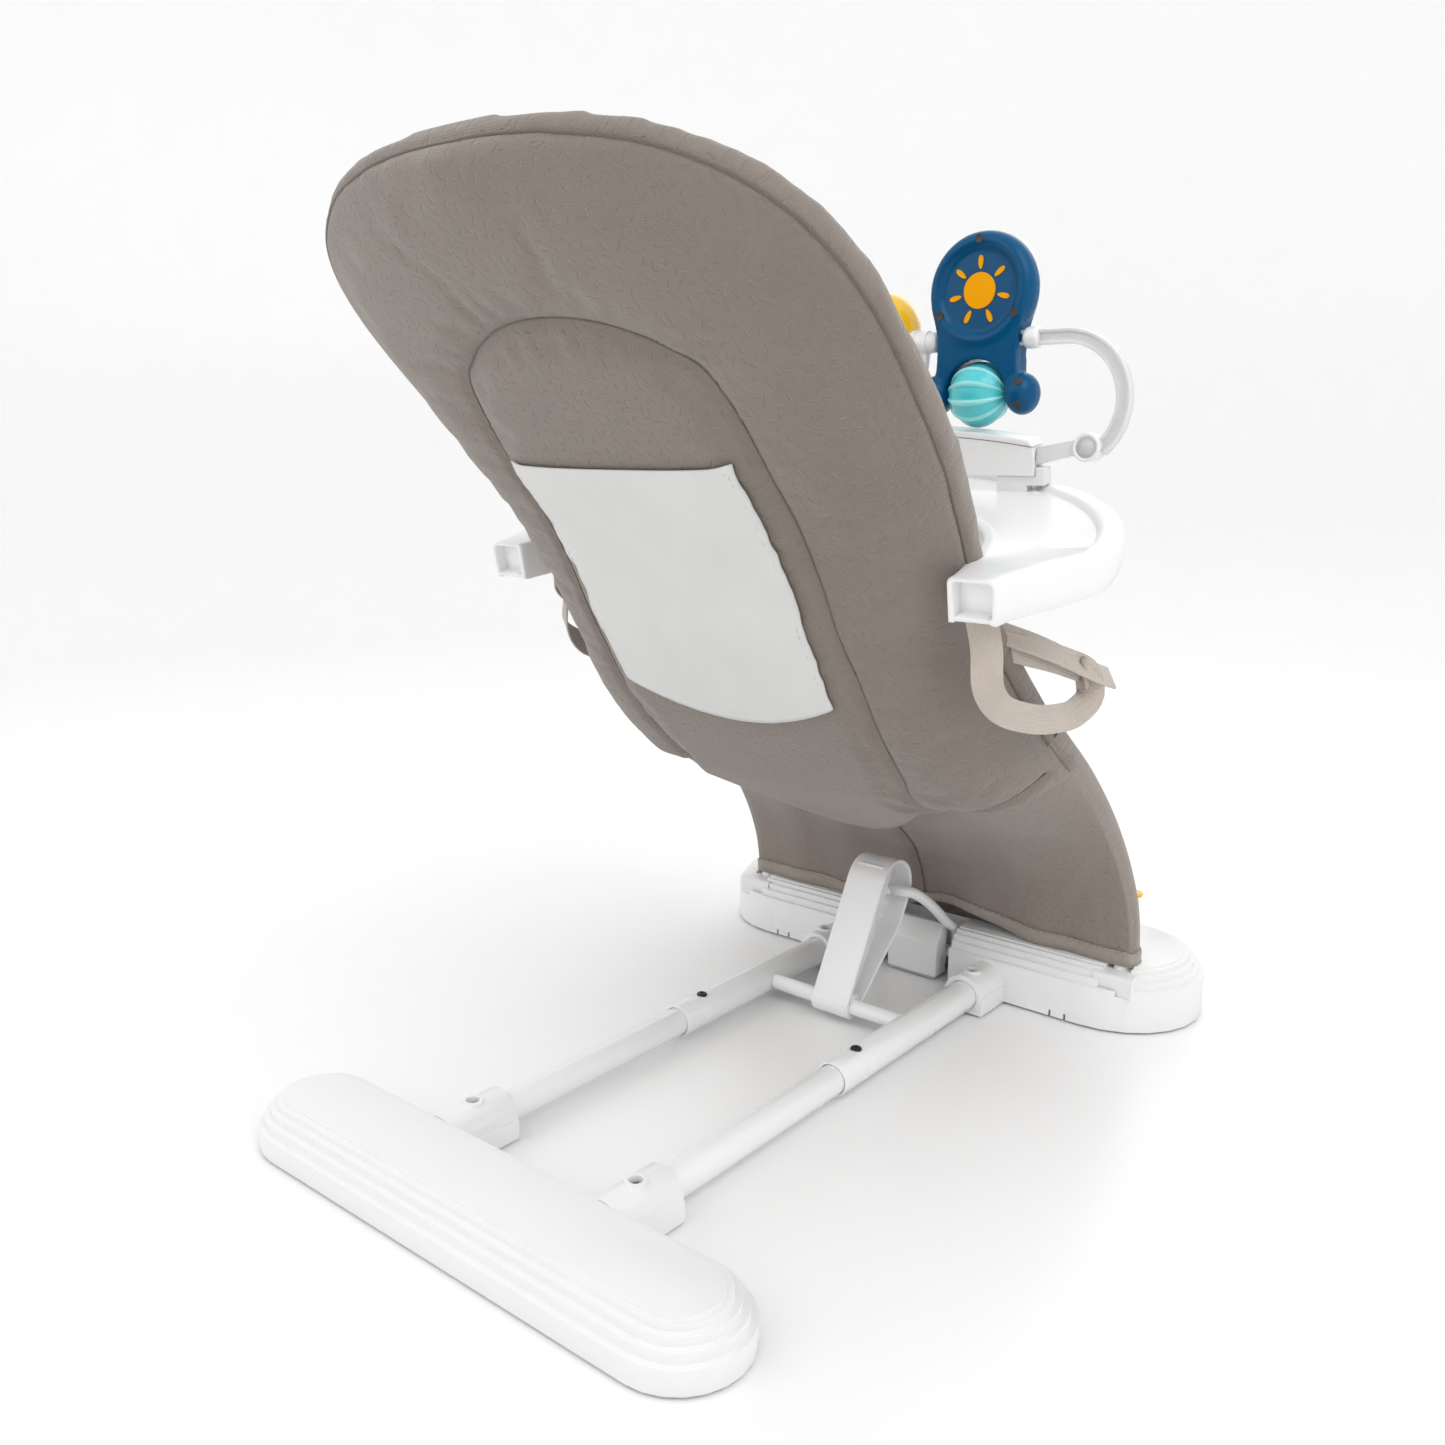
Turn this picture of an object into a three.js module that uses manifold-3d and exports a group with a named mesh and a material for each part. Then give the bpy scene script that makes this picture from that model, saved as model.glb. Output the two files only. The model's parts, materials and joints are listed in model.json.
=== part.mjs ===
// Bouncer seat: a fabric sling seat on a steel hoop, pivoting in a moulded front foot, with a rear foot on
// two tubes, a recline lever, a snap-on tray and a toy arch.
// Millimetres, +Z up. X runs across the seat, -Y is where the child's feet point, the floor is z = 0.
import * as THREE from "three";
import { mergeVertices } from "three/addons/utils/BufferGeometryUtils.js";
import Module from "manifold-3d";

const wasm = await Module();
wasm.setup();

// ---- driving dimensions ----
const GAP = 0.3; // clearance between touching pieces
const FRONT_FOOT = { y: -266.5, length: 458, width: 140, wall: 35, top: 50 };
const REAR_FOOT = { y: 294.5, length: 400, width: 84, wall: 16, top: 33 };
const SHELL_WALL = 4;
const SHELL_LIFT = 1;
const STEPS = 4;
const STEP_INSET = 17;

const TUBE_X = 73.6;
const TUBE_Z = 15;
const SLEEVE_R = 12.7;
const SLEEVE_BORE = 11.5;
const INNER_R = 11.1;
const INNER_BORE = 9.6;
const SLEEVE_Y = [-186, 33];
const INNER_Y = [-18, 246];
const SOCKET_R = 18;
const FRONT_SOCKET_END = -157;
const REAR_SOCKET_END = 213;
const FRONT_SCREW_Y = -172.5;
const JOINT_SCREW_Y = 2;
const REAR_SCREW_Y = 237;

const CROSSBAR = { y: -80, z: TUBE_Z, r: 6.5 };

const PIVOT = { y: -224, z: 20, r: 6 };
const RECESS_X = 38;
const BAIL_R = 4.5;
const BAIL_X = 31.2;
const BAIL_HOOK = { y: -150.5, z: 94.5 };
const RECLINE_STEP = 3.5; // degrees between recline notches
const NOTCHES = 3;
const HOOK_CLEAR = 1.6; // from the bail to a hook's tip

const LEVER_LEAN = 28; // degrees forward of vertical
const LEVER_WIDTH = 35;
const LEVER_BAND = 3.2;

const FRAME_R = 8;
// centre line of the left half of the seat frame, from the foot up to the middle of the head end
const FRAME_LEFT = [
  [180, -223, 33],
  [180, -214, 90],
  [178, -181, 150],
  [177, -124, 209],
  [175, -57, 262],
  [174, -8, 306],
  [168, 30, 355],
  [166, 66, 402],
  [168, 101, 438],
  [175, 139, 470],
  [182, 180, 506],
  [177, 217, 539],
  [155, 248, 566],
  [117, 270, 585],
  [61, 285, 596],
  [0, 289, 599],
];
const KNEE = 2; // the point of FRAME_LEFT where the leg tubes take over from the hoop
const PANEL_START = 0.024; // along the half frame, 0 at the foot and 1 at the head
const PAD_START = 0.175;
const PAD_END = 0.965;
const PAD_EDGE = 14; // from the tube's centre line to the pad's edge

const TRAY = { y: 80.5, z: 386, tilt: 10, a: 242, b: 250, v: 70, power: 1.65, deep: 34 };
const CUTOUT = { a: 172, b: 185 };
const TRAY_WALL = 3.5;
const CLIP = { inner: 155.2, outer: 196, back: -4 };
const ARCH = { top: 537, endX: 126, r: 46 };

const TOY = { x: -57, headZ: 572, headR: 43, waist: 34, ballZ: 497, ballR: 23.8, earX: 34, thick: 22 };
const RATTLE = { x: 31.5, r: 30, above: 11 };
const COLLAR = { x0: -12, x1: 8, r: 10 };

// ---- materials ----
const plastic = (color, roughness) => new THREE.MeshStandardMaterial({ color, roughness, metalness: 0 });
const WHITE = plastic(0xf1f1ef, 0.35);
const WHITE_METAL = new THREE.MeshStandardMaterial({ color: 0xf4f4f3, roughness: 0.3, metalness: 0.2 });
const PLATE = plastic(0xdededb, 0.6);
const CLEAR_WHITE = plastic(0xf3f4f4, 0.25);
const DARK_STEEL = new THREE.MeshStandardMaterial({ color: 0x2a2a2c, roughness: 0.35, metalness: 0.9 });
const RUBBER = plastic(0x8d8f91, 0.9);
const NYLON = plastic(0xcfcfca, 0.5);
const FABRIC = plastic(0x9b9085, 0.95);
const WEBBING = plastic(0xb3a79b, 0.9);
const DARK = plastic(0x4a4846, 0.5);
const BLUE = plastic(0x0a5a91, 0.2);
const TURQUOISE = plastic(0x58c5c6, 0.3);
const ORANGE = plastic(0xf4a400, 0.4);
const YELLOW = plastic(0xf2c41c, 0.3);

const root = new THREE.Group();

// ---- helpers ----
const vec = (x, y, z) => new THREE.Vector3(x, y, z);
const rad = THREE.MathUtils.degToRad;

function signedVolume(geometry) {
  const p = geometry.getAttribute("position");
  const index = geometry.index.array;
  const [a, b, c] = [vec(), vec(), vec()];
  let sum = 0;
  for (let i = 0; i < index.length; i += 3) {
    a.fromBufferAttribute(p, index[i]);
    b.fromBufferAttribute(p, index[i + 1]);
    c.fromBufferAttribute(p, index[i + 2]);
    sum += a.dot(b.cross(c)) / 6;
  }
  return sum;
}

// A closed geometry as a manifold solid, turned outside out where its map had mirrored it.
function solid(geometry) {
  const bare = geometry.clone();
  bare.deleteAttribute("normal");
  bare.deleteAttribute("uv");
  const merged = mergeVertices(bare, 1e-3);
  const triVerts = new Uint32Array(merged.index.array);
  if (signedVolume(merged) < 0) {
    for (let i = 0; i < triVerts.length; i += 3) {
      [triVerts[i + 1], triVerts[i + 2]] = [triVerts[i + 2], triVerts[i + 1]];
    }
  }
  const vertProperties = new Float32Array(merged.getAttribute("position").array);
  return new wasm.Manifold(new wasm.Mesh({ numProp: 3, vertProperties, triVerts }));
}

function geometryOf(manifold) {
  const { vertProperties, triVerts, numProp } = manifold.getMesh();
  const count = vertProperties.length / numProp;
  const position = new Float32Array(count * 3);
  for (let i = 0; i < count; i += 1) {
    for (let k = 0; k < 3; k += 1) position[3 * i + k] = vertProperties[numProp * i + k];
  }
  const geometry = new THREE.BufferGeometry();
  geometry.setAttribute("position", new THREE.BufferAttribute(position, 3));
  geometry.setIndex(new THREE.BufferAttribute(new Uint32Array(triVerts), 1));
  geometry.computeVertexNormals();
  return geometry;
}

function add(name, shape, material, parent = root) {
  const geometry = shape.isBufferGeometry ? geometryOf(solid(shape)) : geometryOf(shape);
  const mesh = new THREE.Mesh(geometry, material);
  mesh.name = name;
  parent.add(mesh);
  return mesh;
}

const union = (first, ...rest) => rest.reduce((sum, s) => sum.add(s), first);
const minus = (first, ...rest) => rest.reduce((sum, s) => sum.subtract(s), first);

const box = (x0, x1, y0, y1, z0, z1) =>
  solid(
    new THREE.BoxGeometry(x1 - x0, y1 - y0, z1 - z0).translate((x0 + x1) / 2, (y0 + y1) / 2, (z0 + z1) / 2),
  );

// A cylinder from one point to another.
function rod(from, to, radius, sides = 20) {
  const axis = to.clone().sub(from);
  const g = new THREE.CylinderGeometry(radius, radius, axis.length(), sides);
  g.applyQuaternion(new THREE.Quaternion().setFromUnitVectors(vec(0, 1, 0), axis.clone().normalize()));
  const middle = from.clone().add(to).multiplyScalar(0.5);
  return solid(g.translate(middle.x, middle.y, middle.z));
}

function tubeAlong(curve, radius, steps, sides = 10) {
  const section = new THREE.Shape().absarc(0, 0, radius, 0, 2 * Math.PI);
  const options = { steps, bevelEnabled: false, extrudePath: curve, curveSegments: sides / 2 };
  return new THREE.ExtrudeGeometry(section, options);
}

// A flat shape in X and Y raised from z0 to z1.
function slab(shape, z0, z1, curveSegments = 6) {
  const g = new THREE.ExtrudeGeometry(shape, { depth: z1 - z0, bevelEnabled: false, curveSegments });
  return solid(g.translate(0, 0, z0));
}

// A shape drawn in Y and Z, extruded across the seat and centred on x.
function crossPlate(shape, width, x = 0, curveSegments = 10) {
  const g = new THREE.ExtrudeGeometry(shape, { depth: width, bevelEnabled: false, curveSegments });
  g.applyMatrix4(new THREE.Matrix4().makeBasis(vec(0, 1, 0), vec(0, 0, 1), vec(1, 0, 0)));
  return solid(g.translate(x - width / 2, 0, 0));
}

// A shape drawn in X and Z, extruded along Y and centred on y.
function frontPlate(shape, thick, y, curveSegments = 14) {
  const g = new THREE.ExtrudeGeometry(shape, { depth: thick, bevelEnabled: false, curveSegments });
  g.applyMatrix4(new THREE.Matrix4().makeBasis(vec(1, 0, 0), vec(0, 0, 1), vec(0, -1, 0)));
  return solid(g.translate(0, y + thick / 2, 0));
}

function stadium(length, width, y = 0) {
  const r = width / 2;
  const x = length / 2 - r;
  const s = new THREE.Shape();
  s.absarc(x, y, r, -Math.PI / 2, Math.PI / 2);
  s.absarc(-x, y, r, Math.PI / 2, 1.5 * Math.PI);
  s.closePath();
  return s;
}

// A box whose unit coordinates (u, v, w in -1..1) are carried to space by a map.
function mapped(nu, nv, map) {
  const g = new THREE.BoxGeometry(2, 2, 2, nu, nv, 1);
  const p = g.getAttribute("position");
  for (let i = 0; i < p.count; i += 1) {
    const q = map(p.getX(i), p.getY(i), p.getZ(i));
    p.setXYZ(i, q.x, q.y, q.z);
  }
  return g;
}

// Straight-line interpolation in a short list of [where, value] pairs.
function along(list, t) {
  const i = Math.max(1, list.findIndex(([where]) => where >= t));
  const last = t > list[list.length - 1][0] ? list.length - 1 : i;
  const [a, b] = [list[last - 1], list[last]];
  return THREE.MathUtils.mapLinear(THREE.MathUtils.clamp(t, a[0], b[0]), a[0], b[0], a[1], b[1]);
}

const SIDES = [
  ["left", 1],
  ["right", -1],
];

// ---- base: feet ----
// A foot's stepped dome, or with an extra wall thickness and one step, the room under it.
function footSolid(foot, extra, bottom, steps) {
  const layer = (inset, height) => {
    const outline = stadium(foot.length - 2 * inset, foot.width - 2 * inset, foot.y);
    return slab(outline, bottom, height);
  };
  const layers = [layer(extra, foot.wall - extra)];
  for (let i = 1; i <= steps; i += 1) {
    const rise = (foot.top - foot.wall) * Math.sin((i / steps) * (Math.PI / 2));
    layers.push(layer((STEP_INSET * i) / steps + extra, foot.wall + rise - extra));
  }
  return union(...layers);
}

const footShell = (foot) =>
  footSolid(foot, 0, SHELL_LIFT, STEPS).subtract(footSolid(foot, SHELL_WALL, -5, 1));

// An arched block that takes the end of a tube.
function socketBlock(x, y0, y1, z0) {
  const arch = new THREE.Shape();
  arch.moveTo(x - SOCKET_R, z0);
  arch.lineTo(x + SOCKET_R, z0);
  arch.lineTo(x + SOCKET_R, TUBE_Z);
  arch.absarc(x, TUBE_Z, SOCKET_R - 1, 0, Math.PI);
  arch.lineTo(x - SOCKET_R, TUBE_Z);
  arch.closePath();
  return frontPlate(arch, y1 - y0, (y0 + y1) / 2, 8);
}

const SCREW_HEAD_R = 4;
const SCREW_SHANK_R = 2;
const BOSS_R = 7.5;
const SOCKET_TOP = TUBE_Z + SOCKET_R - 1;

function sockets(shell, y0, y1, screwY, tubeEnd, tubeR) {
  let out = shell;
  SIDES.forEach(([, side]) => {
    const x = side * TUBE_X;
    out = out.add(socketBlock(x, y0, y1, SHELL_LIFT));
    out = out.add(rod(vec(x, screwY, TUBE_Z), vec(x, screwY, SOCKET_TOP + 1), BOSS_R, 16));
    out = out.subtract(rod(vec(x, tubeEnd[0], TUBE_Z), vec(x, tubeEnd[1], TUBE_Z), tubeR + GAP, 24));
    out = out.subtract(rod(vec(x, screwY, TUBE_Z), vec(x, screwY, SOCKET_TOP + 5), SCREW_HEAD_R + 0.6, 14));
  });
  return out;
}

function frontFoot() {
  const f = FRONT_FOOT;
  const back = f.y + f.width / 2;
  const recess = box(-RECESS_X, RECESS_X, PIVOT.y - 14, back + 5, -1, 60);
  let shell = footShell(f);
  const liner = box(
    -RECESS_X - SHELL_WALL,
    RECESS_X + SHELL_WALL,
    PIVOT.y - 14 - SHELL_WALL,
    back,
    SHELL_LIFT,
    60,
  );
  shell = shell.add(liner.intersect(footSolid(f, 0, SHELL_LIFT, STEPS)));
  shell = sockets(shell, back - 20, FRONT_SOCKET_END, FRONT_SCREW_Y, [SLEEVE_Y[0] - 1, -100], SLEEVE_R);
  shell = shell.subtract(recess);
  shell = shell.subtract(rod(vec(-60, PIVOT.y, PIVOT.z), vec(60, PIVOT.y, PIVOT.z), PIVOT.r + 0.6, 16));
  SIDES.forEach(([, side]) => {
    const x = side * 180;
    shell = shell.subtract(box(x - 10, x + 10, PIVOT.y - 18, PIVOT.y + 22, 30, 60));
    [133, 146].forEach((slit) => {
      shell = shell.subtract(box(side * slit - 1, side * slit + 1, back - 8, back + 2, 0, 6));
    });
  });
  add("front_foot_shell", buttonPost(shell), WHITE);

  const plateShape = stadium(f.length - 2 * SHELL_WALL - 1, f.width - 2 * SHELL_WALL - 1, f.y);
  const opening = box(
    -RECESS_X - SHELL_WALL - GAP,
    RECESS_X + SHELL_WALL + GAP,
    PIVOT.y - 14 - SHELL_WALL - GAP,
    back + 5,
    -2,
    9,
  );
  let plate = slab(plateShape, 2, 4.5).subtract(opening);
  SIDES.forEach(([, side]) => {
    const x = side * TUBE_X;
    plate = plate.subtract(box(x - SOCKET_R - 1, x + SOCKET_R + 1, back - 23, back + 2, 0, 9));
  });
  add("front_foot_plate", plate, PLATE);

  SIDES.forEach(([name, side]) => {
    const pad = slab(stadium(70, 26, 0), 0, 2 - GAP);
    add(`front_pad_${name}`, pad.translate([side * 165, f.y, 0]), RUBBER);
    const bush = box(side * 49 - 6, side * 49 + 6, PIVOT.y - 11, PIVOT.y + 11, 4.8, 30);
    const bore = rod(vec(-80, PIVOT.y, PIVOT.z), vec(80, PIVOT.y, PIVOT.z), PIVOT.r + GAP, 16);
    add(`pivot_bush_${name}`, bush.subtract(bore), NYLON);
  });
}

function rearFoot() {
  const f = REAR_FOOT;
  const front = f.y - f.width / 2;
  let shell = footShell(f);
  shell = sockets(shell, REAR_SOCKET_END, front + 12, REAR_SCREW_Y, [150, INNER_Y[1] + 1], INNER_R);
  add("rear_foot_shell", shell, WHITE);
  let plate = slab(stadium(f.length - 2 * SHELL_WALL - 1, f.width - 2 * SHELL_WALL - 1, f.y), 2, 4.5);
  SIDES.forEach(([, side]) => {
    const x = side * TUBE_X;
    plate = plate.subtract(box(x - SOCKET_R - 1, x + SOCKET_R + 1, front, front + 13, 0, 9));
  });
  add("rear_foot_plate", plate, PLATE);
  SIDES.forEach(([name, side]) => {
    const pad = slab(stadium(60, 24, 0), 0, 2 - GAP);
    add(`rear_pad_${name}`, pad.translate([side * 140, f.y, 0]), RUBBER);
  });
}

// ---- base: tubes and their screws ----
function pipe(x, y0, y1, r, bore) {
  const outer = rod(vec(x, y0, TUBE_Z), vec(x, y1, TUBE_Z), r, 24);
  return outer.subtract(rod(vec(x, y0 - 1, TUBE_Z), vec(x, y1 + 1, TUBE_Z), bore, 24));
}

const drill = (x, y, r) => rod(vec(x, y, TUBE_Z), vec(x, y, TUBE_Z + 30), r, 14);

function screw(x, y, headBottom, length) {
  const head = rod(vec(x, y, headBottom), vec(x, y, headBottom + 2.4), SCREW_HEAD_R, 14);
  const shank = rod(vec(x, y, headBottom - length), vec(x, y, headBottom + 1), SCREW_SHANK_R, 10);
  const drive = rod(vec(x, y, headBottom + 1.2), vec(x, y, headBottom + 3), 1.6, 6);
  return head.add(shank).subtract(drive);
}

function baseTubes() {
  const shankHole = SCREW_SHANK_R + 0.4;
  SIDES.forEach(([name, side]) => {
    const x = side * TUBE_X;
    const sleeve = pipe(x, SLEEVE_Y[0], SLEEVE_Y[1], SLEEVE_R, SLEEVE_BORE);
    const inner = pipe(x, INNER_Y[0], INNER_Y[1], INNER_R, INNER_BORE);
    add(
      `front_tube_${name}`,
      minus(sleeve, drill(x, FRONT_SCREW_Y, shankHole), drill(x, JOINT_SCREW_Y, SCREW_HEAD_R + 0.4)),
      WHITE_METAL,
    );
    add(
      `rear_tube_${name}`,
      minus(inner, drill(x, JOINT_SCREW_Y, shankHole), drill(x, REAR_SCREW_Y, shankHole)),
      WHITE_METAL,
    );
    add(`front_socket_screw_${name}`, screw(x, FRONT_SCREW_Y, TUBE_Z + SLEEVE_R + GAP, 9), DARK_STEEL);
    add(`tube_joint_screw_${name}`, screw(x, JOINT_SCREW_Y, TUBE_Z + INNER_R + GAP, 9), DARK_STEEL);
    add(`rear_socket_screw_${name}`, screw(x, REAR_SCREW_Y, TUBE_Z + INNER_R + GAP, 9), DARK_STEEL);
  });
  let bar = rod(vec(-TUBE_X, CROSSBAR.y, CROSSBAR.z), vec(TUBE_X, CROSSBAR.y, CROSSBAR.z), CROSSBAR.r, 18);
  SIDES.forEach(([, side]) => {
    const x = side * TUBE_X;
    bar = bar.subtract(rod(vec(x, -150, TUBE_Z), vec(x, 0, TUBE_Z), SLEEVE_R + GAP, 24));
  });
  const middle = bar.intersect(box(-TUBE_X + 8, TUBE_X - 8, CROSSBAR.y - 20, CROSSBAR.y + 20, 0, 40));
  add("crossbar", middle, WHITE_METAL);
}

// The sealed box between the bail's legs, with a sloping top that follows the foot's own outline.
function controlBox() {
  const back = FRONT_FOOT.y + FRONT_FOOT.width / 2 - 2;
  const side = new THREE.Shape();
  side.moveTo(back, 3);
  side.lineTo(back, 33);
  side.lineTo(back - 12, 49);
  side.lineTo(back - 18.5, 49);
  side.lineTo(back - 18.5, 3);
  side.closePath();
  add("control_box", crossPlate(side, 49), WHITE);
  const lid = new THREE.Shape();
  lid.moveTo(back - 2, 0.6);
  lid.lineTo(back - 2, 3 - GAP);
  lid.lineTo(back - 18, 3 - GAP);
  lid.lineTo(back - 18, 0.6);
  lid.closePath();
  add("control_box_cover", crossPlate(lid, 44), PLATE);
}

// A button on a hollow post that stands on the foot.
const BUTTON = { x: -154, y: -311, post: 74, stroke: 3 };

function buttonPost(shell) {
  const at = (z) => vec(BUTTON.x, BUTTON.y, z);
  return shell
    .add(rod(at(FRONT_FOOT.top - 3), at(BUTTON.post), 4, 14))
    .subtract(rod(at(64), at(80), 2.6, 12));
}

function buttonCap() {
  const at = (z) => vec(BUTTON.x, BUTTON.y, z);
  const low = BUTTON.post + BUTTON.stroke + 1;
  add("button_cap", rod(at(low), at(low + 4), 6.5, 16).add(rod(at(68.5), at(low + 1), 2.2, 12)), YELLOW);
}

// ---- recline: shaft, bail and lever ----
// Where the bail's hook bar lies after the seat has gone back by an angle.
function bailAt(degrees) {
  const p = new THREE.Vector2(BAIL_HOOK.y, BAIL_HOOK.z);
  return p.rotateAround(new THREE.Vector2(PIVOT.y, PIVOT.z), -rad(degrees));
}

function reclineShaft() {
  add("pivot_shaft", rod(vec(-171, PIVOT.y, PIVOT.z), vec(171, PIVOT.y, PIVOT.z), PIVOT.r, 16), WHITE_METAL);
  const half = [
    [BAIL_X, PIVOT.y + 1, PIVOT.z + PIVOT.r + GAP + 0.4],
    [BAIL_X, PIVOT.y + 4, 42],
    [BAIL_X, PIVOT.y + 22, 56],
    [BAIL_X - 2, BAIL_HOOK.y - 22, 81],
    [BAIL_X - 7, BAIL_HOOK.y - 6, 92.5],
    [BAIL_X - 14, BAIL_HOOK.y, BAIL_HOOK.z],
  ];
  const points = half.map(([x, y, z]) => vec(x, y, z));
  const mirrored = points.map((p) => vec(-p.x, p.y, p.z)).reverse();
  const middle = vec(0, BAIL_HOOK.y, BAIL_HOOK.z);
  const curve = new THREE.CatmullRomCurve3([...points, middle, ...mirrored], false, "centripetal");
  add("recline_bail", tubeAlong(curve, BAIL_R, 30, 8), WHITE_METAL);
}

// The lever is drawn in its own axes, a up its length and b towards the front, from the crossbar's axis.
function leverPoint(a, b) {
  const lean = rad(LEVER_LEAN);
  return new THREE.Vector2(
    CROSSBAR.y - a * Math.sin(lean) - b * Math.cos(lean),
    CROSSBAR.z + a * Math.cos(lean) - b * Math.sin(lean),
  );
}

function leverAxes(point) {
  const lean = rad(LEVER_LEAN);
  const [dy, dz] = [point.x - CROSSBAR.y, point.y - CROSSBAR.z];
  return { a: -dy * Math.sin(lean) + dz * Math.cos(lean), b: -dy * Math.cos(lean) - dz * Math.sin(lean) };
}

function leverLoop(offset) {
  const back = -10 + offset;
  const front = 38.5 - offset;
  const top = 103;
  const middle = (back + front) / 2;
  const r = (front - back) / 2;
  const points = [leverPoint(-6 + offset, back + 3)];
  points.push(leverPoint(6, back));
  points.push(leverPoint(top, back));
  for (let i = 1; i < 12; i += 1) {
    const t = Math.PI * (1 - i / 12);
    points.push(leverPoint(top + r * Math.sin(t), middle + r * Math.cos(t)));
  }
  points.push(leverPoint(top, front));
  points.push(leverPoint(72, front));
  points.push(leverPoint(2 + offset, 14 - offset));
  points.push(leverPoint(-8 + offset, 8 - offset));
  return new THREE.Shape(points);
}

function reclineLever() {
  let lever = crossPlate(leverLoop(0), LEVER_WIDTH).subtract(
    crossPlate(leverLoop(LEVER_BAND), LEVER_WIDTH + 2),
  );
  // middle web along the back of the loop, with a hook below each notch
  const web = [leverPoint(14, -8), leverPoint(115, -8), leverPoint(118, 4)];
  for (let k = 0; k < NOTCHES; k += 1) {
    const bar = leverAxes(bailAt(RECLINE_STEP * k));
    const tip = bar.b - BAIL_R - HOOK_CLEAR;
    web.push(leverPoint(bar.a + 1.6, tip - 5));
    web.push(leverPoint(bar.a - 1.6, tip - 5));
    web.push(leverPoint(bar.a - 2.6, tip));
    web.push(leverPoint(bar.a - 4.6, tip));
  }
  web.push(leverPoint(70, 2), leverPoint(30, 2), leverPoint(14, 0));
  lever = lever.add(crossPlate(new THREE.Shape(web), 9));
  // hub that snaps round the crossbar
  const hub = rod(
    vec(-LEVER_WIDTH / 2, CROSSBAR.y, CROSSBAR.z),
    vec(LEVER_WIDTH / 2, CROSSBAR.y, CROSSBAR.z),
    10.5,
  );
  const bore = rod(vec(-40, CROSSBAR.y, CROSSBAR.z), vec(40, CROSSBAR.y, CROSSBAR.z), CROSSBAR.r + 0.4);
  lever = union(lever, hub).subtract(bore);
  add("recline_lever", lever, WHITE);
}

// ---- seat frame ----
const halfFrame = new THREE.CatmullRomCurve3(
  FRAME_LEFT.map(([x, y, z]) => vec(x, y, z)),
  false,
  "centripetal",
);

function seatFrame() {
  const left = FRAME_LEFT.slice(KNEE).map(([x, y, z]) => vec(x, y, z));
  const right = left.slice(0, -1).map((p) => vec(-p.x, p.y, p.z)).reverse();
  const hoop = new THREE.CatmullRomCurve3([...left, ...right], false, "centripetal");
  add("frame_hoop", tubeAlong(hoop, FRAME_R, 44, 8), WHITE_METAL);
  SIDES.forEach(([name, side]) => {
    const leg = FRAME_LEFT.slice(0, KNEE + 1).map(([x, y, z]) => vec(side * x, y, z));
    const end = leg[leg.length - 1];
    const towards = end.clone().sub(leg[leg.length - 2]).normalize();
    leg[leg.length - 1] = end.clone().addScaledVector(towards, -2.5);
    const tube = solid(tubeAlong(new THREE.CatmullRomCurve3(leg, false, "centripetal"), FRAME_R, 8, 8));
    const eye = rod(vec(side * 180 - 8, PIVOT.y, PIVOT.z), vec(side * 180 + 8, PIVOT.y, PIVOT.z), 11, 20);
    const stub = rod(vec(side * 180, PIVOT.y, PIVOT.z), vec(side * 180, FRAME_LEFT[0][1], 36), 7.6, 12);
    const shaftEnd = rod(
      vec(side * 160, PIVOT.y, PIVOT.z),
      vec(side * 174, PIVOT.y, PIVOT.z),
      PIVOT.r + GAP,
      16,
    );
    add(`frame_leg_${name}`, union(tube, eye, stub).subtract(shaftEnd), WHITE_METAL);
  });
}

// ---- seat pad: a padded sling between the frame tubes ----
// depth of the sling's back below the frame at mid width, and how boxy its section is
const PAD_DEPTH = [
  [0.02, 2],
  [0.1, 8],
  [0.175, 38],
  [0.24, 52],
  [0.33, 62],
  [0.5, 60],
  [0.64, 44],
  [0.76, 26],
  [1, 12],
];
const PAD_POWER = [
  [0.02, 2],
  [0.17, 2.6],
  [0.24, 5],
  [0.31, 9],
  [0.42, 8],
  [0.6, 4],
  [0.75, 2.4],
  [1, 2],
];
const PAD_THICK = 24;

// Edge point of the pad at t along the half frame, and the direction out of its back.
function padRow(t) {
  const p = halfFrame.getPointAt(t);
  const tangent = halfFrame.getTangentAt(t);
  const rise = vec(0, tangent.y, tangent.z).normalize();
  const out = vec(0, rise.z, -rise.y);
  const across = new THREE.Vector3().crossVectors(out, tangent).normalize();
  if (across.x < 0) across.negate();
  return { edge: p.addScaledVector(across, -PAD_EDGE), out };
}

function padSurface(t, u, lift) {
  const { edge, out } = padRow(t);
  const power = along(PAD_POWER, t);
  const depth = along(PAD_DEPTH, t);
  const sag = 4 + (depth - 4) * (1 - Math.abs(u) ** power);
  return vec(u * edge.x, edge.y, edge.z).addScaledVector(out, sag - lift);
}

function seatPad() {
  const pad = mapped(10, 15, (u, v, w) => {
    const t = THREE.MathUtils.mapLinear(v, -1, 1, PAD_START, PAD_END);
    return padSurface(t, Math.sin((u * Math.PI) / 2), w > 0 ? 0 : PAD_THICK);
  });
  add("seat_pad", pad, FABRIC);
}

// The skirt of fabric between the legs, from the foot up to the sling's front edge.
function legPanel() {
  const panel = mapped(8, 5, (u, v, w) => {
    const t = THREE.MathUtils.mapLinear(v, -1, 1, PANEL_START, PAD_START - 0.004);
    return padSurface(t, u, w > 0 ? 0 : 5);
  });
  add("leg_panel", panel, FABRIC);
}

// A strap that lies on the pad's face, along a line of [t, u] places.
function padStrap(places, width, thick, lift, steps) {
  const line = new THREE.CatmullRomCurve3(places.map(([t, u]) => vec(t, u, 0)));
  return mapped(1, steps, (a, v, w) => {
    const q = line.getPoint((v + 1) / 2);
    const t = q.x;
    const u = q.y + (a * width) / 2 / padRow(t).edge.x;
    const clear = PAD_THICK + lift + (w > 0 ? thick : 0);
    return padSurface(t, u, clear);
  });
}

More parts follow.
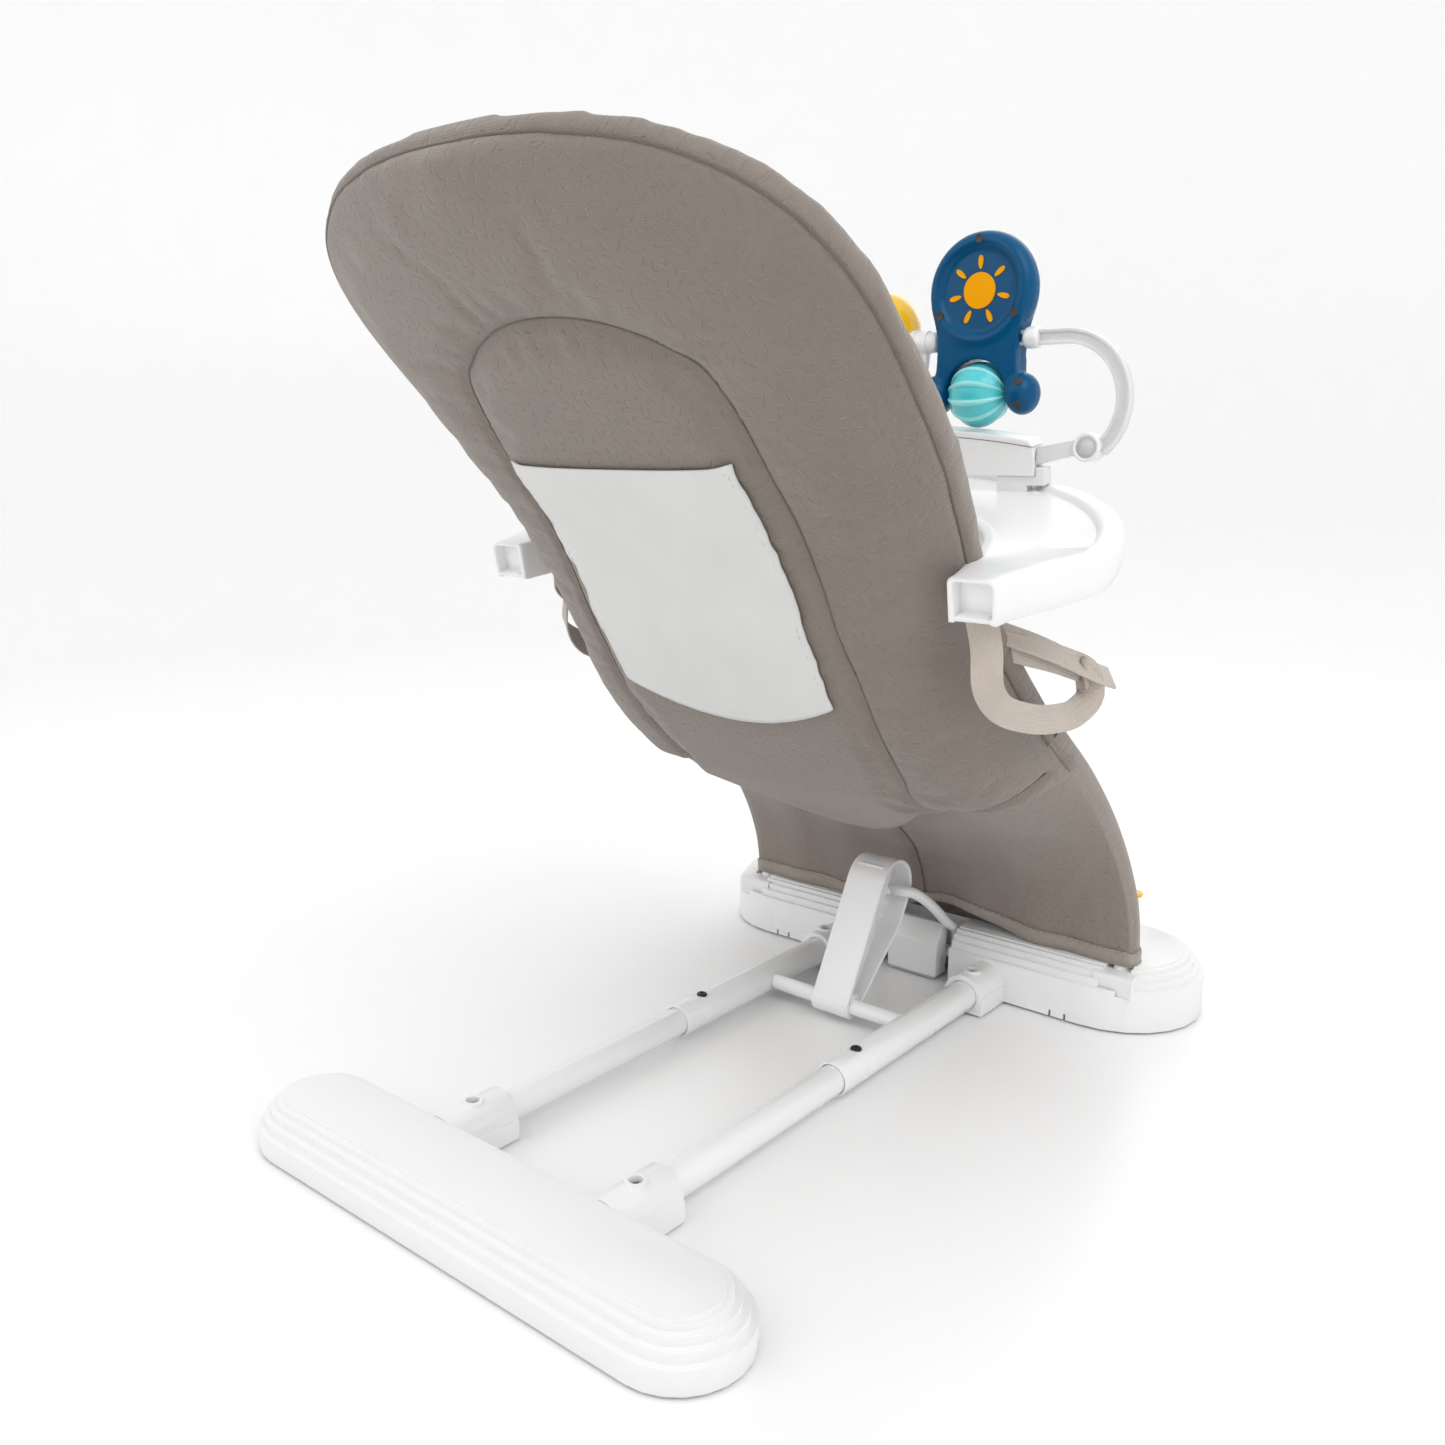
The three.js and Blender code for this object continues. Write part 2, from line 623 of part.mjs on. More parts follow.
const BUCKLE = { r: 20, half: 6, floor: 1.9, capR: 9, stroke: 2, lean: 44 };

function harness() {
  SIDES.forEach(([name, side]) => {
    add(
      `shoulder_strap_${name}`,
      padStrap(
        [[0.66, side * 0.3], [0.56, side * 0.26], [0.46, side * 0.2], [0.385, side * 0.1]],
        20,
        1.6,
        2,
        8,
      ),
      WEBBING,
    );
    add(
      `shoulder_pad_${name}`,
      padStrap([[0.64, side * 0.29], [0.58, side * 0.27], [0.52, side * 0.235]], 36, 8, 4, 5),
      FABRIC,
    );
    add(`strap_slider_${name}`, padStrap([[0.44, side * 0.19], [0.46, side * 0.2]], 27, 3, 5, 1), DARK);
  });
  add("crotch_strap", padStrap([[0.27, 0], [0.3, 0], [0.335, 0]], 30, 2, 2, 4), WEBBING);
  const centre = padSurface(0.355, 0, PAD_THICK + 13);
  const place = (shape) => shape.rotate([BUCKLE.lean, 0, 0]).translate([centre.x, centre.y, centre.z]);
  const pocket = rod(vec(0, 0, BUCKLE.floor), vec(0, 0, BUCKLE.half + 1), BUCKLE.capR + 0.4, 16);
  const disc = rod(vec(0, 0, -BUCKLE.half), vec(0, 0, BUCKLE.half), BUCKLE.r);
  add("harness_buckle", place(disc.subtract(pocket)), DARK);
  const capLow = BUCKLE.floor + BUCKLE.stroke + GAP;
  add("buckle_button", place(rod(vec(0, 0, capLow), vec(0, 0, BUCKLE.half + 1.6), BUCKLE.capR, 16)), WHITE);
}

// Waist straps: each leaves the seat's side under the tray arm, loops down and comes back over the rim.
const WAIST_LOOP = [
  [186, -2, 330],
  [199, -14, 318],
  [206, -24, 296],
  [208, -42, 280],
  [207, -66, 282],
  [204, -82, 298],
  [198, -84, 314],
];

function waistStrap(side) {
  const curve = new THREE.CatmullRomCurve3(WAIST_LOOP.map(([x, y, z]) => vec(side * x, y, z)));
  return mapped(1, 26, (a, v, w) => {
    const t = (v + 1) / 2;
    const p = curve.getPointAt(t);
    const along3 = curve.getTangentAt(t);
    const across = vec(side, 0, 0.35).addScaledVector(along3, -side * along3.x).normalize();
    const normal = new THREE.Vector3().crossVectors(along3, across).normalize();
    return p.addScaledVector(across, 9 * a).addScaledVector(normal, 0.9 * w);
  });
}

// ---- tray, in its own axes: x across, -y forward, z out of its top ----
const tray = new THREE.Group();
tray.position.set(0, TRAY.y, TRAY.z);
tray.rotation.x = -rad(TRAY.tilt);
root.add(tray);

function trayOuter(inset) {
  const shoulder = [
    [CLIP.outer - inset, -CLIP.back],
    [199 - inset, -4],
    [222 - inset, -20],
    [237 - inset, -40],
  ];
  const half = shoulder.map(([x, y]) => new THREE.Vector2(x, y));
  const steps = 14;
  for (let i = 0; i <= steps; i += 1) {
    const angle = (i / steps) * (Math.PI / 2);
    const x = (TRAY.a - inset) * Math.cos(angle) ** (2 / TRAY.power);
    const v = TRAY.v + (TRAY.b - inset) * Math.sin(angle) ** (2 / TRAY.power);
    half.push(new THREE.Vector2(x, -v));
  }
  const other = half.slice(0, -1).map((p) => new THREE.Vector2(-p.x, p.y)).reverse();
  return new THREE.Shape([...half, ...other]);
}

function trayCutout(outset) {
  const s = new THREE.Shape();
  s.moveTo(CUTOUT.a + outset, 30);
  s.lineTo(-CUTOUT.a - outset, 30);
  s.lineTo(-CUTOUT.a - outset, 0);
  s.absellipse(0, 0, CUTOUT.a + outset, CUTOUT.b + outset, Math.PI, 2 * Math.PI);
  s.closePath();
  return s;
}

const TRAY_FLOOR = -6;
const ARM_DEEP = 24;

function trayShell() {
  const rim = 15;
  const low = -TRAY.deep;
  let shell = slab(trayOuter(0), low, 0).subtract(slab(trayCutout(0), low - 1, 1, 24));
  const cavity = slab(trayOuter(TRAY_WALL), low - 1, TRAY_FLOOR - 3).subtract(
    slab(trayCutout(TRAY_WALL), low - 2, 2, 24),
  );
  const ahead = box(-300, 300, -400, -72, low - 5, 5);
  const dish = slab(trayOuter(rim), TRAY_FLOOR, 5).subtract(slab(trayCutout(rim - 3), TRAY_FLOOR - 1, 6, 24));
  shell = minus(shell, cavity.intersect(ahead), dish.intersect(ahead));
  // shallower arms, each ending in an open-backed clip that straddles the frame tube
  shell = shell.subtract(box(-300, 300, -66, 40, low - 5, -ARM_DEEP));
  SIDES.forEach(([, side]) => {
    const span = (a, b, ...rest) => box(...[side * a, side * b].sort((p, q) => p - q), ...rest);
    shell = shell.add(span(CLIP.inner, CLIP.outer - 2, -70, -CLIP.back, -ARM_DEEP, -0.01));
    shell = shell.subtract(span(CLIP.inner + 3, 177, -68, 12, -40, 10));
    shell = shell.subtract(span(179.5, CLIP.outer - TRAY_WALL, -62, 12, -40, -3.5));
  });
  add("tray_shell", shell, WHITE, tray);
}

const BEAM = { v: 256, half: 108, low: 8, high: 29, crown: 9, deep: 17, lid: 5.5, axis: 21.5 };

// The beam's crowned top edge, drawn from one end to the other at a height above the tray.
function crownLine(half, height, backwards = false) {
  const points = [];
  for (let i = -8; i <= 8; i += 1) {
    points.push(new THREE.Vector2((i / 8) * half, height + BEAM.crown * (1 - (i / 8) ** 2)));
  }
  return backwards ? points.reverse() : points;
}

function toyBeam() {
  const y = -BEAM.v;
  const bore = rod(vec(-200, y, BEAM.axis), vec(200, y, BEAM.axis), 4.2, 14);
  const ends = union(
    box(-BEAM.half - 1, -BEAM.half + 17, y - 20, y + 20, 0, 40),
    box(BEAM.half - 17, BEAM.half + 1, y - 20, y + 20, 0, 40),
  );
  const low = [new THREE.Vector2(BEAM.half, BEAM.low), new THREE.Vector2(-BEAM.half, BEAM.low)];
  const outline = new THREE.Shape([...crownLine(BEAM.half, BEAM.high), ...low]);
  add("toy_beam", frontPlate(outline, BEAM.deep, y).subtract(bore.intersect(ends)), WHITE, tray);
  const lidLow = crownLine(BEAM.half + 1, BEAM.high + GAP + 0.2);
  const lid = new THREE.Shape([...lidLow, ...crownLine(BEAM.half - 3, BEAM.high + BEAM.lid, true)]);
  add("toy_beam_lid", frontPlate(lid, BEAM.deep + 2, y), WHITE, tray);
  // feet under the beam's ends, each with a nub that shows past the end
  const [inner, rim, end, out] = [76, 101, BEAM.half + GAP, BEAM.half + 8];
  const [floor, under, top] = [TRAY_FLOOR + GAP, BEAM.low - GAP, BEAM.low + 6];
  SIDES.forEach(([name, side]) => {
    const corners = [[inner, floor], [rim, floor], [rim, GAP], [out, GAP]];
    corners.push([out, top], [end, top], [end, under], [inner, under]);
    const foot = new THREE.Shape(corners.map(([x, z]) => new THREE.Vector2(side * x, z)));
    add(`beam_peg_${name}`, frontPlate(foot, 12, y), WHITE, tray);
  });
}

// ---- toy arch, in axes centred on its hinge line ----
tray.updateMatrixWorld(true);
const hinge = tray.localToWorld(vec(0, -BEAM.v, BEAM.axis));
const arch = new THREE.Group();
arch.position.copy(hinge);
root.add(arch);

const BAR_Z = ARCH.top - hinge.z;
const KNOB = { x: 148, z: 458.2 - hinge.z, r: 10.5 };

function toyArch() {
  const arcZ = BAR_Z - ARCH.r;
  const arc = (side, i, n) => {
    const angle = rad(90 - (138 * i) / n);
    return vec(side * (ARCH.endX + ARCH.r * Math.cos(angle)), 0, arcZ + ARCH.r * Math.sin(angle));
  };
  const points = [];
  for (let i = 12; i >= 0; i -= 1) points.push(arc(-1, i, 12));
  for (let x = -100; x <= 100; x += 50) points.push(vec(x, 0, BAR_Z));
  for (let i = 0; i <= 12; i += 1) points.push(arc(1, i, 12));
  const section = new THREE.Shape([
    new THREE.Vector2(-5.5, -3),
    new THREE.Vector2(-4.5, -4),
    new THREE.Vector2(4.5, -4),
    new THREE.Vector2(5.5, -3),
    new THREE.Vector2(5.5, 4),
    new THREE.Vector2(3.5, 4),
    new THREE.Vector2(3.5, 0),
    new THREE.Vector2(-3.5, 0),
    new THREE.Vector2(-3.5, 4),
    new THREE.Vector2(-5.5, 4),
  ]);
  const path = new THREE.CatmullRomCurve3(points, false, "centripetal");
  let bar = solid(new THREE.ExtrudeGeometry(section, { steps: 34, bevelEnabled: false, extrudePath: path }));
  SIDES.forEach(([name, side]) => {
    const x = side * KNOB.x;
    bar = bar.subtract(rod(vec(x, -9, KNOB.z), vec(x, 9, KNOB.z), KNOB.r + GAP, 22));
    add(`arch_knob_${name}`, rod(vec(x, -7, KNOB.z), vec(x, 7, KNOB.z), KNOB.r, 22), WHITE, arch);
    const plate = new THREE.Shape([
      new THREE.Vector2(side * (BEAM.half + 0.5), -6),
      new THREE.Vector2(side * (KNOB.x - 8), KNOB.z - 5.5),
      new THREE.Vector2(side * (KNOB.x - 8), KNOB.z + 5.5),
      new THREE.Vector2(side * (BEAM.half + 0.5), 6.5),
    ]);
    const stub = rod(vec(side * 94, 0, 0), vec(side * (BEAM.half + 3), 0, 0), 3.7, 14);
    const knobRoom = rod(vec(x, -9, KNOB.z), vec(x, 9, KNOB.z), KNOB.r + GAP, 22);
    add(`arch_arm_${name}`, frontPlate(plate, 8, 0).add(stub).subtract(knobRoom), CLEAR_WHITE, arch);
  });
  add("arch_bar", bar, CLEAR_WHITE, arch);
}

// The collar on the bar, with a link and an eye to hang a toy from.
function hubRing() {
  const onBar = (x0, x1, r) => rod(vec(x0, 0, BAR_Z), vec(x1, 0, BAR_Z), r, 18);
  const link = new THREE.Shape();
  link.moveTo(-11, BAR_Z - 5);
  link.quadraticCurveTo(-11, BAR_Z - 22, -7, BAR_Z - 30);
  link.lineTo(0, BAR_Z - 30);
  link.quadraticCurveTo(-4, BAR_Z - 20, -4, BAR_Z - 5);
  link.closePath();
  const eye = [vec(-2, -3, BAR_Z - 34), vec(-2, 3, BAR_Z - 34)];
  const body = union(
    onBar(COLLAR.x0, 0, 8.8),
    onBar(-2, COLLAR.x1, COLLAR.r),
    frontPlate(link, 6, 0, 4),
    rod(...eye, 6, 16),
  );
  const eyeHole = rod(vec(-2, -9, BAR_Z - 34), vec(-2, 9, BAR_Z - 34), 2.8, 12);
  add("toy_ring", minus(body, onBar(-40, 40, 7.4), eyeHole), WHITE, arch);
}

// A sphere stretched along each axis.
const ellipsoid = (x, y, z, rx, ry, rz) =>
  solid(new THREE.SphereGeometry(1, 18, 10).scale(rx, ry, rz).translate(x, y, z));

function rattle() {
  const onBar = (x0, x1, r) => rod(vec(x0, 0, BAR_Z), vec(x1, 0, BAR_Z), r, 18);
  const ball = ellipsoid(RATTLE.x, 0, BAR_Z + RATTLE.above, RATTLE.r, RATTLE.r, RATTLE.r);
  const seat = onBar(-20, COLLAR.x1 + 0.6, COLLAR.r + 0.8);
  add("yellow_rattle", minus(ball, onBar(-20, 80, 7.6), seat), YELLOW, arch);
}

function spinToy() {
  const head = TOY.headZ - hinge.z;
  const ball = TOY.ballZ - hinge.z;
  const room = TOY.ballR + 2;
  const body = new THREE.Shape();
  body.moveTo(TOY.x + TOY.waist, BAR_Z + 12);
  body.lineTo(TOY.x + TOY.waist, BAR_Z - 14);
  body.lineTo(TOY.x + TOY.earX + 2, ball);
  body.lineTo(TOY.x + room, ball);
  body.absarc(TOY.x, ball, room, 0, Math.PI);
  body.lineTo(TOY.x - TOY.earX - 2, ball);
  body.lineTo(TOY.x - TOY.waist, BAR_Z - 14);
  body.lineTo(TOY.x - TOY.waist, BAR_Z + 12);
  body.closePath();
  const disc = rod(vec(TOY.x, -TOY.thick / 2, head), vec(TOY.x, TOY.thick / 2, head), TOY.headR, 28);
  let toy = disc.add(frontPlate(body, TOY.thick, 0));
  [-TOY.earX, TOY.earX].forEach((dx) => {
    toy = toy.add(ellipsoid(TOY.x + dx, 0, ball, 12.5, 15.5, 15.5));
  });
  toy = minus(
    toy,
    rod(vec(TOY.x - 60, 0, BAR_Z), vec(TOY.x + 60, 0, BAR_Z), 7.6, 16),
    rod(vec(TOY.x - 40, 0, ball), vec(TOY.x + 40, 0, ball), 2.4, 10),
    rod(vec(TOY.x - 25.1, 0, ball), vec(TOY.x + 25.1, 0, ball), TOY.ballR + 1, 24),
    rod(vec(TOY.x, TOY.thick / 2 - 3, head), vec(TOY.x, 40, head), 30, 24),
  );
  const screws = [
    [0, head + 36],
    [-33, head - 24],
    [33, head - 24],
    [-36, ball + 7],
    [36, ball + 7],
    [-36, ball - 7],
    [36, ball - 7],
  ];
  screws.forEach(([dx, z]) => {
    toy = toy.subtract(rod(vec(TOY.x + dx, 6, z), vec(TOY.x + dx, 30, z), 2.6, 6));
  });
  const [x0, x1] = [TOY.x - 70, TOY.x + 70];
  add("toy_back_shell", toy.intersect(box(x0, x1, GAP / 2, 40, ball - 50, head + 60)), BLUE, arch);
  add("toy_front_shell", toy.intersect(box(x0, x1, -40, -GAP / 2, ball - 50, head + 60)), BLUE, arch);
  const face = TOY.thick / 2 - 3 + GAP;
  add("toy_sun_disc", rod(vec(TOY.x, face, head), vec(TOY.x, face + 1.6, head), 13.5, 24), ORANGE, arch);
  const axle = rod(vec(TOY.x - 39, 0, ball), vec(TOY.x + 39, 0, ball), 2, 10);
  add("toy_axle", axle, DARK_STEEL, arch);
  const roller = ellipsoid(TOY.x, 0, ball, TOY.ballR, TOY.ballR, TOY.ballR);
  add("toy_roller", roller.subtract(rod(vec(-120, 0, ball), vec(60, 0, ball), 2.4, 10)), TURQUOISE, arch);
}

frontFoot();
rearFoot();
baseTubes();
controlBox();
buttonCap();
reclineShaft();
reclineLever();
seatFrame();
seatPad();
legPanel();
harness();
SIDES.forEach(([name, side]) => add(`waist_strap_${name}`, waistStrap(side), WEBBING));
trayShell();
toyBeam();
toyArch();
hubRing();
rattle();
spinToy();

export default root;
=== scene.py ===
import json
import math

import bmesh
import bpy
import numpy as np
from mathutils import Matrix, Vector
from mathutils.bvhtree import BVHTree


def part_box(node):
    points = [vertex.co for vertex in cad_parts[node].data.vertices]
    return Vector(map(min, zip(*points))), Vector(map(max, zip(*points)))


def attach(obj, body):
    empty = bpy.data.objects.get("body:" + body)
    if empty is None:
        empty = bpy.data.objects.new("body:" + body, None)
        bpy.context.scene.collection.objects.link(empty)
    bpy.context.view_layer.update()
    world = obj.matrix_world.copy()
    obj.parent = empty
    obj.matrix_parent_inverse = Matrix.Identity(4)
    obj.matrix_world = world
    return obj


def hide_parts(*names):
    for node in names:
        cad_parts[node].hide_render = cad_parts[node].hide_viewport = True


# A baby bouncer seat. The frame's axes: the child faces -Y, +X is the child's left, metres.
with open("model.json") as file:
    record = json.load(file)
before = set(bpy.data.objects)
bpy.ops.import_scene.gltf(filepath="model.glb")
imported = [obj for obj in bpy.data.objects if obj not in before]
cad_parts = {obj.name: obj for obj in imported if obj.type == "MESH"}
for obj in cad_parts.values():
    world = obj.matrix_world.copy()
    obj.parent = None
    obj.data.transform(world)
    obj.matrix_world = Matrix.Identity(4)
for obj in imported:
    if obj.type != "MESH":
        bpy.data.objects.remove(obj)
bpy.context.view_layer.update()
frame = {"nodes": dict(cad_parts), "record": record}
scene = bpy.context.scene
MM = 0.001
SIDES = {"left": 1, "right": -1}


# ---- mesh helpers: points are given in millimetres ----
def mesh_object(name, points, faces, material, smooth=True):
    """A mesh object from points in millimetres."""
    mesh = bpy.data.meshes.new(name)
    mesh.from_pydata((np.asarray(points, float) * MM).tolist(), [], [list(map(int, f)) for f in faces])
    mesh.validate()
    work = bmesh.new()
    work.from_mesh(mesh)
    bmesh.ops.recalc_face_normals(work, faces=work.faces)
    work.to_mesh(mesh)
    work.free()
    mesh.polygons.foreach_set("use_smooth", [smooth] * len(mesh.polygons))
    obj = bpy.data.objects.new(name, mesh)
    scene.collection.objects.link(obj)
    if material:
        mesh.materials.append(material)
    return obj


def grid_faces(rows, columns, wrap_rows=False, wrap_columns=False):
    """Quads over a grid of points stored row by row."""
    faces = []
    for i in range(rows if wrap_rows else rows - 1):
        for j in range(columns if wrap_columns else columns - 1):
            a, b = i % rows * columns, (i + 1) % rows * columns
            c, d = j % columns, (j + 1) % columns
            faces.append([a + c, a + d, b + d, b + c])
    return faces


def skin(name, grid, material, wrap_rows=False, wrap_columns=False):
    """An open or wrapped surface through a (rows, columns, 3) grid."""
    grid = np.asarray(grid, float)
    faces = grid_faces(*grid.shape[:2], wrap_rows, wrap_columns)
    return mesh_object(name, grid.reshape(-1, 3), faces, material)


def solid(name, grid, material, closed=False, smooth=True):
    """A solid through rings of points, a (rings, points, 3) grid. It has flat ends unless it is closed."""
    grid = np.asarray(grid, float)
    rows, columns = grid.shape[:2]
    faces = grid_faces(rows, columns, closed, True)
    if not closed:
        faces += [list(range(columns))[::-1], [(rows - 1) * columns + j for j in range(columns)]]
    return mesh_object(name, grid.reshape(-1, 3), faces, material, smooth)


def unit(vectors):
    """The vectors at length one."""
    return vectors / np.linalg.norm(vectors, axis=-1, keepdims=True)


def eased(x):
    """A share from 0 to 1 with a soft start and end."""
    return x * x * (3 - 2 * x)


def catmull(points, per_span=16):
    """Points along a centripetal Catmull-Rom curve through the given ones."""
    p = np.array(points, float)
    p = np.vstack([2 * p[0] - p[1], p, 2 * p[-1] - p[-2]])
    out = []
    for i in range(1, len(p) - 2):
        a, b, c, d = p[i - 1 : i + 3]
        tb = np.linalg.norm(b - a) ** 0.5
        tc = tb + np.linalg.norm(c - b) ** 0.5
        td = tc + np.linalg.norm(d - c) ** 0.5
        t = np.linspace(tb, tc, per_span, endpoint=False)[:, None]
        ab = (tb - t) / tb * a + t / tb * b
        bc = (tc - t) / (tc - tb) * b + (t - tb) / (tc - tb) * c
        cd = (td - t) / (td - tc) * c + (t - tc) / (td - tc) * d
        abc = (tc - t) / tc * ab + t / tc * bc
        bcd = (td - t) / (td - tb) * bc + (t - tb) / (td - tb) * cd
        out.append((tc - t) / (tc - tb) * abc + (t - tb) / (tc - tb) * bcd)
    return np.vstack([*out, p[-2]])


def resample(points, count):
    """The given number of points, evenly spaced along a line."""
    p = np.asarray(points, float)
    run = np.r_[0, np.cumsum(np.linalg.norm(np.diff(p, axis=0), axis=1))]
    at = np.linspace(0, run[-1], count)
    return np.stack([np.interp(at, run, p[:, k]) for k in range(p.shape[1])], 1)


def running_mean(points, reach):
    """Points along a line, each the mean of those up to reach places away."""
    width = 2 * reach + 1
    columns = [np.pad(points[:, k], reach, "edge") for k in range(3)]
    return np.stack([np.convolve(c, np.ones(width) / width, "valid") for c in columns], 1)


def sweep_frames(path, up):
    """Side and normal directions along a path, with the side kept square to up."""
    along = unit(np.gradient(path, axis=0))
    side = unit(np.cross(along, np.broadcast_to(np.asarray(up, float), path.shape)))
    return side, np.cross(side, along)


def sweep(name, path, profile, material, up=(0, 0, 1), scale=None, closed=False):
    """A solid with a closed profile carried along a path."""
    path, profile = np.asarray(path, float), np.asarray(profile, float)
    side, normal = sweep_frames(path, up)
    scale = np.ones(len(path)) if scale is None else np.asarray(scale, float)
    section = profile[None, :, :1] * side[:, None] + profile[None, :, 1:] * normal[:, None]
    return solid(name, path[:, None] + scale[:, None, None] * section, material, closed)


def circle(radius, sides=32):
    """A round profile."""
    angle = np.linspace(0, 2 * np.pi, sides, endpoint=False)
    return np.stack([np.cos(angle), np.sin(angle)], 1) * radius


def rounded_box(width, height, radius, steps=4):
    """A rectangle profile with round corners."""
    across, up = width / 2 - radius, height / 2 - radius
    out = []
    for sx, sy, start in ((1, 1, 0), (-1, 1, 90), (-1, -1, 180), (1, -1, 270)):
        for k in range(steps + 1):
            a = math.radians(start + 90 * k / steps)
            out.append((sx * across + radius * math.cos(a), sy * up + radius * math.sin(a)))
    return np.array(out)


def tube(name, path, radius, material, sides=32, up=(0, 0, 1)):
    """A round rod along a path with softened ends."""
    path = resample(path, max(12, len(path)))
    along = unit(np.gradient(path, axis=0))
    soft = min(1.2, radius * 0.3)
    start = [path[0] + along[0] * soft * (1 - math.cos(a)) for a in (0, 0.8, 1.57)]
    end = [path[-1] - along[-1] * soft * (1 - math.cos(a)) for a in (1.57, 0.8, 0)]
    points = np.vstack([start, path[1:-1], end])
    scale = np.ones(len(points))
    scale[:3] = [1 - soft / radius, 1 - soft / radius * 0.3, 1]
    scale[-3:] = scale[:3][::-1]
    return sweep(name, points, circle(radius, sides), material, up, scale)


def turned(name, profile, origin, axis, material, segments=64):
    """A turned piece: profile is (radius, height along the axis) pairs from one end to the other."""
    turn = Vector((0, 0, 1)).rotation_difference(Vector(axis).normalized()).to_matrix()
    angle = np.linspace(0, 2 * np.pi, segments, endpoint=False)
    profile = np.asarray(profile, float)
    ring = np.stack([np.cos(angle), np.sin(angle), np.zeros(segments)], 1)
    grid = profile[:, None, :1] * ring[None] + profile[:, None, 1:] * np.array([0, 0, 1.0])
    return solid(name, grid @ np.array(turn).T + np.asarray(origin, float), material)


def apply_modifiers(obj):
    """The object's mesh with its modifiers built in."""
    bpy.context.view_layer.update()
    shaped = obj.evaluated_get(bpy.context.evaluated_depsgraph_get())
    mesh = bpy.data.meshes.new_from_object(shaped)
    obj.modifiers.clear()
    obj.data = mesh
    return obj


def points_of(obj):
    """Vertex positions as an array in millimetres."""
    co = np.empty(len(obj.data.vertices) * 3)
    obj.data.vertices.foreach_get("co", co)
    return co.reshape(-1, 3) / MM


def set_points(obj, points):
    """Moves the vertices to positions given in millimetres."""
    obj.data.vertices.foreach_set("co", (np.asarray(points) * MM).astype(np.float32).ravel())
    obj.data.update()


def joined(name, objects):
    """Several objects made one."""
    bpy.ops.object.select_all(action="DESELECT")
    for obj in objects:
        obj.select_set(True)
    bpy.context.view_layer.objects.active = objects[0]
    bpy.ops.object.join()
    objects[0].name = name
    return objects[0]


def smooth_faces(obj):
    """Smooth shading on every face."""
    obj.data.polygons.foreach_set("use_smooth", [True] * len(obj.data.polygons))


def smooth_by_angle(obj, degrees=32):
    """Smooth faces with creases kept where they meet at more than this angle."""
    smooth_faces(obj)
    obj.data.set_sharp_from_angle(angle=math.radians(degrees))
    return obj


def place(obj, body, slot, *nodes):
    """Rides the piece on its body and hides the CAD nodes it stands for; slot is not used."""
    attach(obj, body)
    if nodes:
        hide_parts(*nodes)
    return obj


# ---- materials ----
def shader(name):
    """A new node material with its principled shader and a helper that adds and links nodes."""
    material = bpy.data.materials.new(name)
    material.use_nodes = True
    tree = material.node_tree
    principled = tree.nodes["Principled BSDF"]

    def node(kind, inputs=(), **settings):
        made = tree.nodes.new(kind)
        for key, value in settings.items():
            setattr(made, key, value)
        for key, value in dict(inputs).items():
            if isinstance(value, bpy.types.NodeSocket):
                tree.links.new(value, made.inputs[key])
            else:
                made.inputs[key].default_value = value
        return made

    return material, principled, node, tree.links.new


def linear(r, g, b):
    """A linear colour with alpha from 0-255 display values."""
    parts = [c / 255 for c in (r, g, b)]
    return (*[c / 12.92 if c <= 0.04045 else ((c + 0.055) / 1.055) ** 2.4 for c in parts], 1)


def tinted(node, link, principled, colour, vector, amount, scale):
    """Base colour that drifts a little in lightness."""
    noise = node("ShaderNodeTexNoise", {"Vector": vector, "Scale": scale, "Detail": 4.0})
    low = [c * (1 - amount) for c in colour[:3]] + [1]
    high = [min(1, c * (1 + amount)) for c in colour[:3]] + [1]
    mix = node("ShaderNodeMix", data_type="RGBA")
    mix.inputs["A"].default_value, mix.inputs["B"].default_value = low, high
    link(noise.outputs["Fac"], mix.inputs["Factor"])
    link(mix.outputs["Result"], principled.inputs["Base Color"])


def set_inputs(principled, values):
    """Gives the shader's plain inputs their values."""
    for key, value in values.items():
        principled.inputs[key].default_value = value


def moulded(
    name, colour, roughness=0.35, grain=0.0002, grain_scale=900,
    coat=0.0, transmission=0.0, metallic=0.0, shine=0.5,
):
    """Moulded plastic, paint, rubber or metal with a fine grain and slightly uneven gloss."""
    material, principled, node, link = shader(name)
    where = node("ShaderNodeTexCoord").outputs["Object"]
    tinted(node, link, principled, colour, where, 0.015, 14)
    uneven = node("ShaderNodeTexNoise", {"Vector": where, "Scale": 30.0, "Detail": 5.0})
    spread = {"Value": uneven.outputs["Fac"], "To Min": roughness * 0.85, "To Max": roughness * 1.15}
    link(node("ShaderNodeMapRange", spread).outputs["Result"], principled.inputs["Roughness"])
    fine = node("ShaderNodeTexNoise", {"Vector": where, "Scale": float(grain_scale), "Detail": 2.0})
    bump = node("ShaderNodeBump", {"Height": fine.outputs["Fac"], "Distance": grain, "Strength": 0.5})
    link(bump.outputs["Normal"], principled.inputs["Normal"])
    set_inputs(principled, {
        "Coat Weight": coat, "Coat Roughness": 0.12, "Transmission Weight": transmission,
        "Metallic": metallic, "Specular IOR Level": shine, "IOR": 1.48,
    })
    return material


STROKES_PER_M = 140.0
BAND_SCALE = 0.314  # the wave texture's scale for one band in a metre


def bands(node, where, direction, pitch, distortion, detail=2.0):
    """Wavy bands of the given pitch in metres."""
    look = {"Vector": where, "Scale": BAND_SCALE / pitch, "Distortion": distortion, "Detail": detail}
    return node("ShaderNodeTexWave", look, bands_direction=direction).outputs["Fac"]


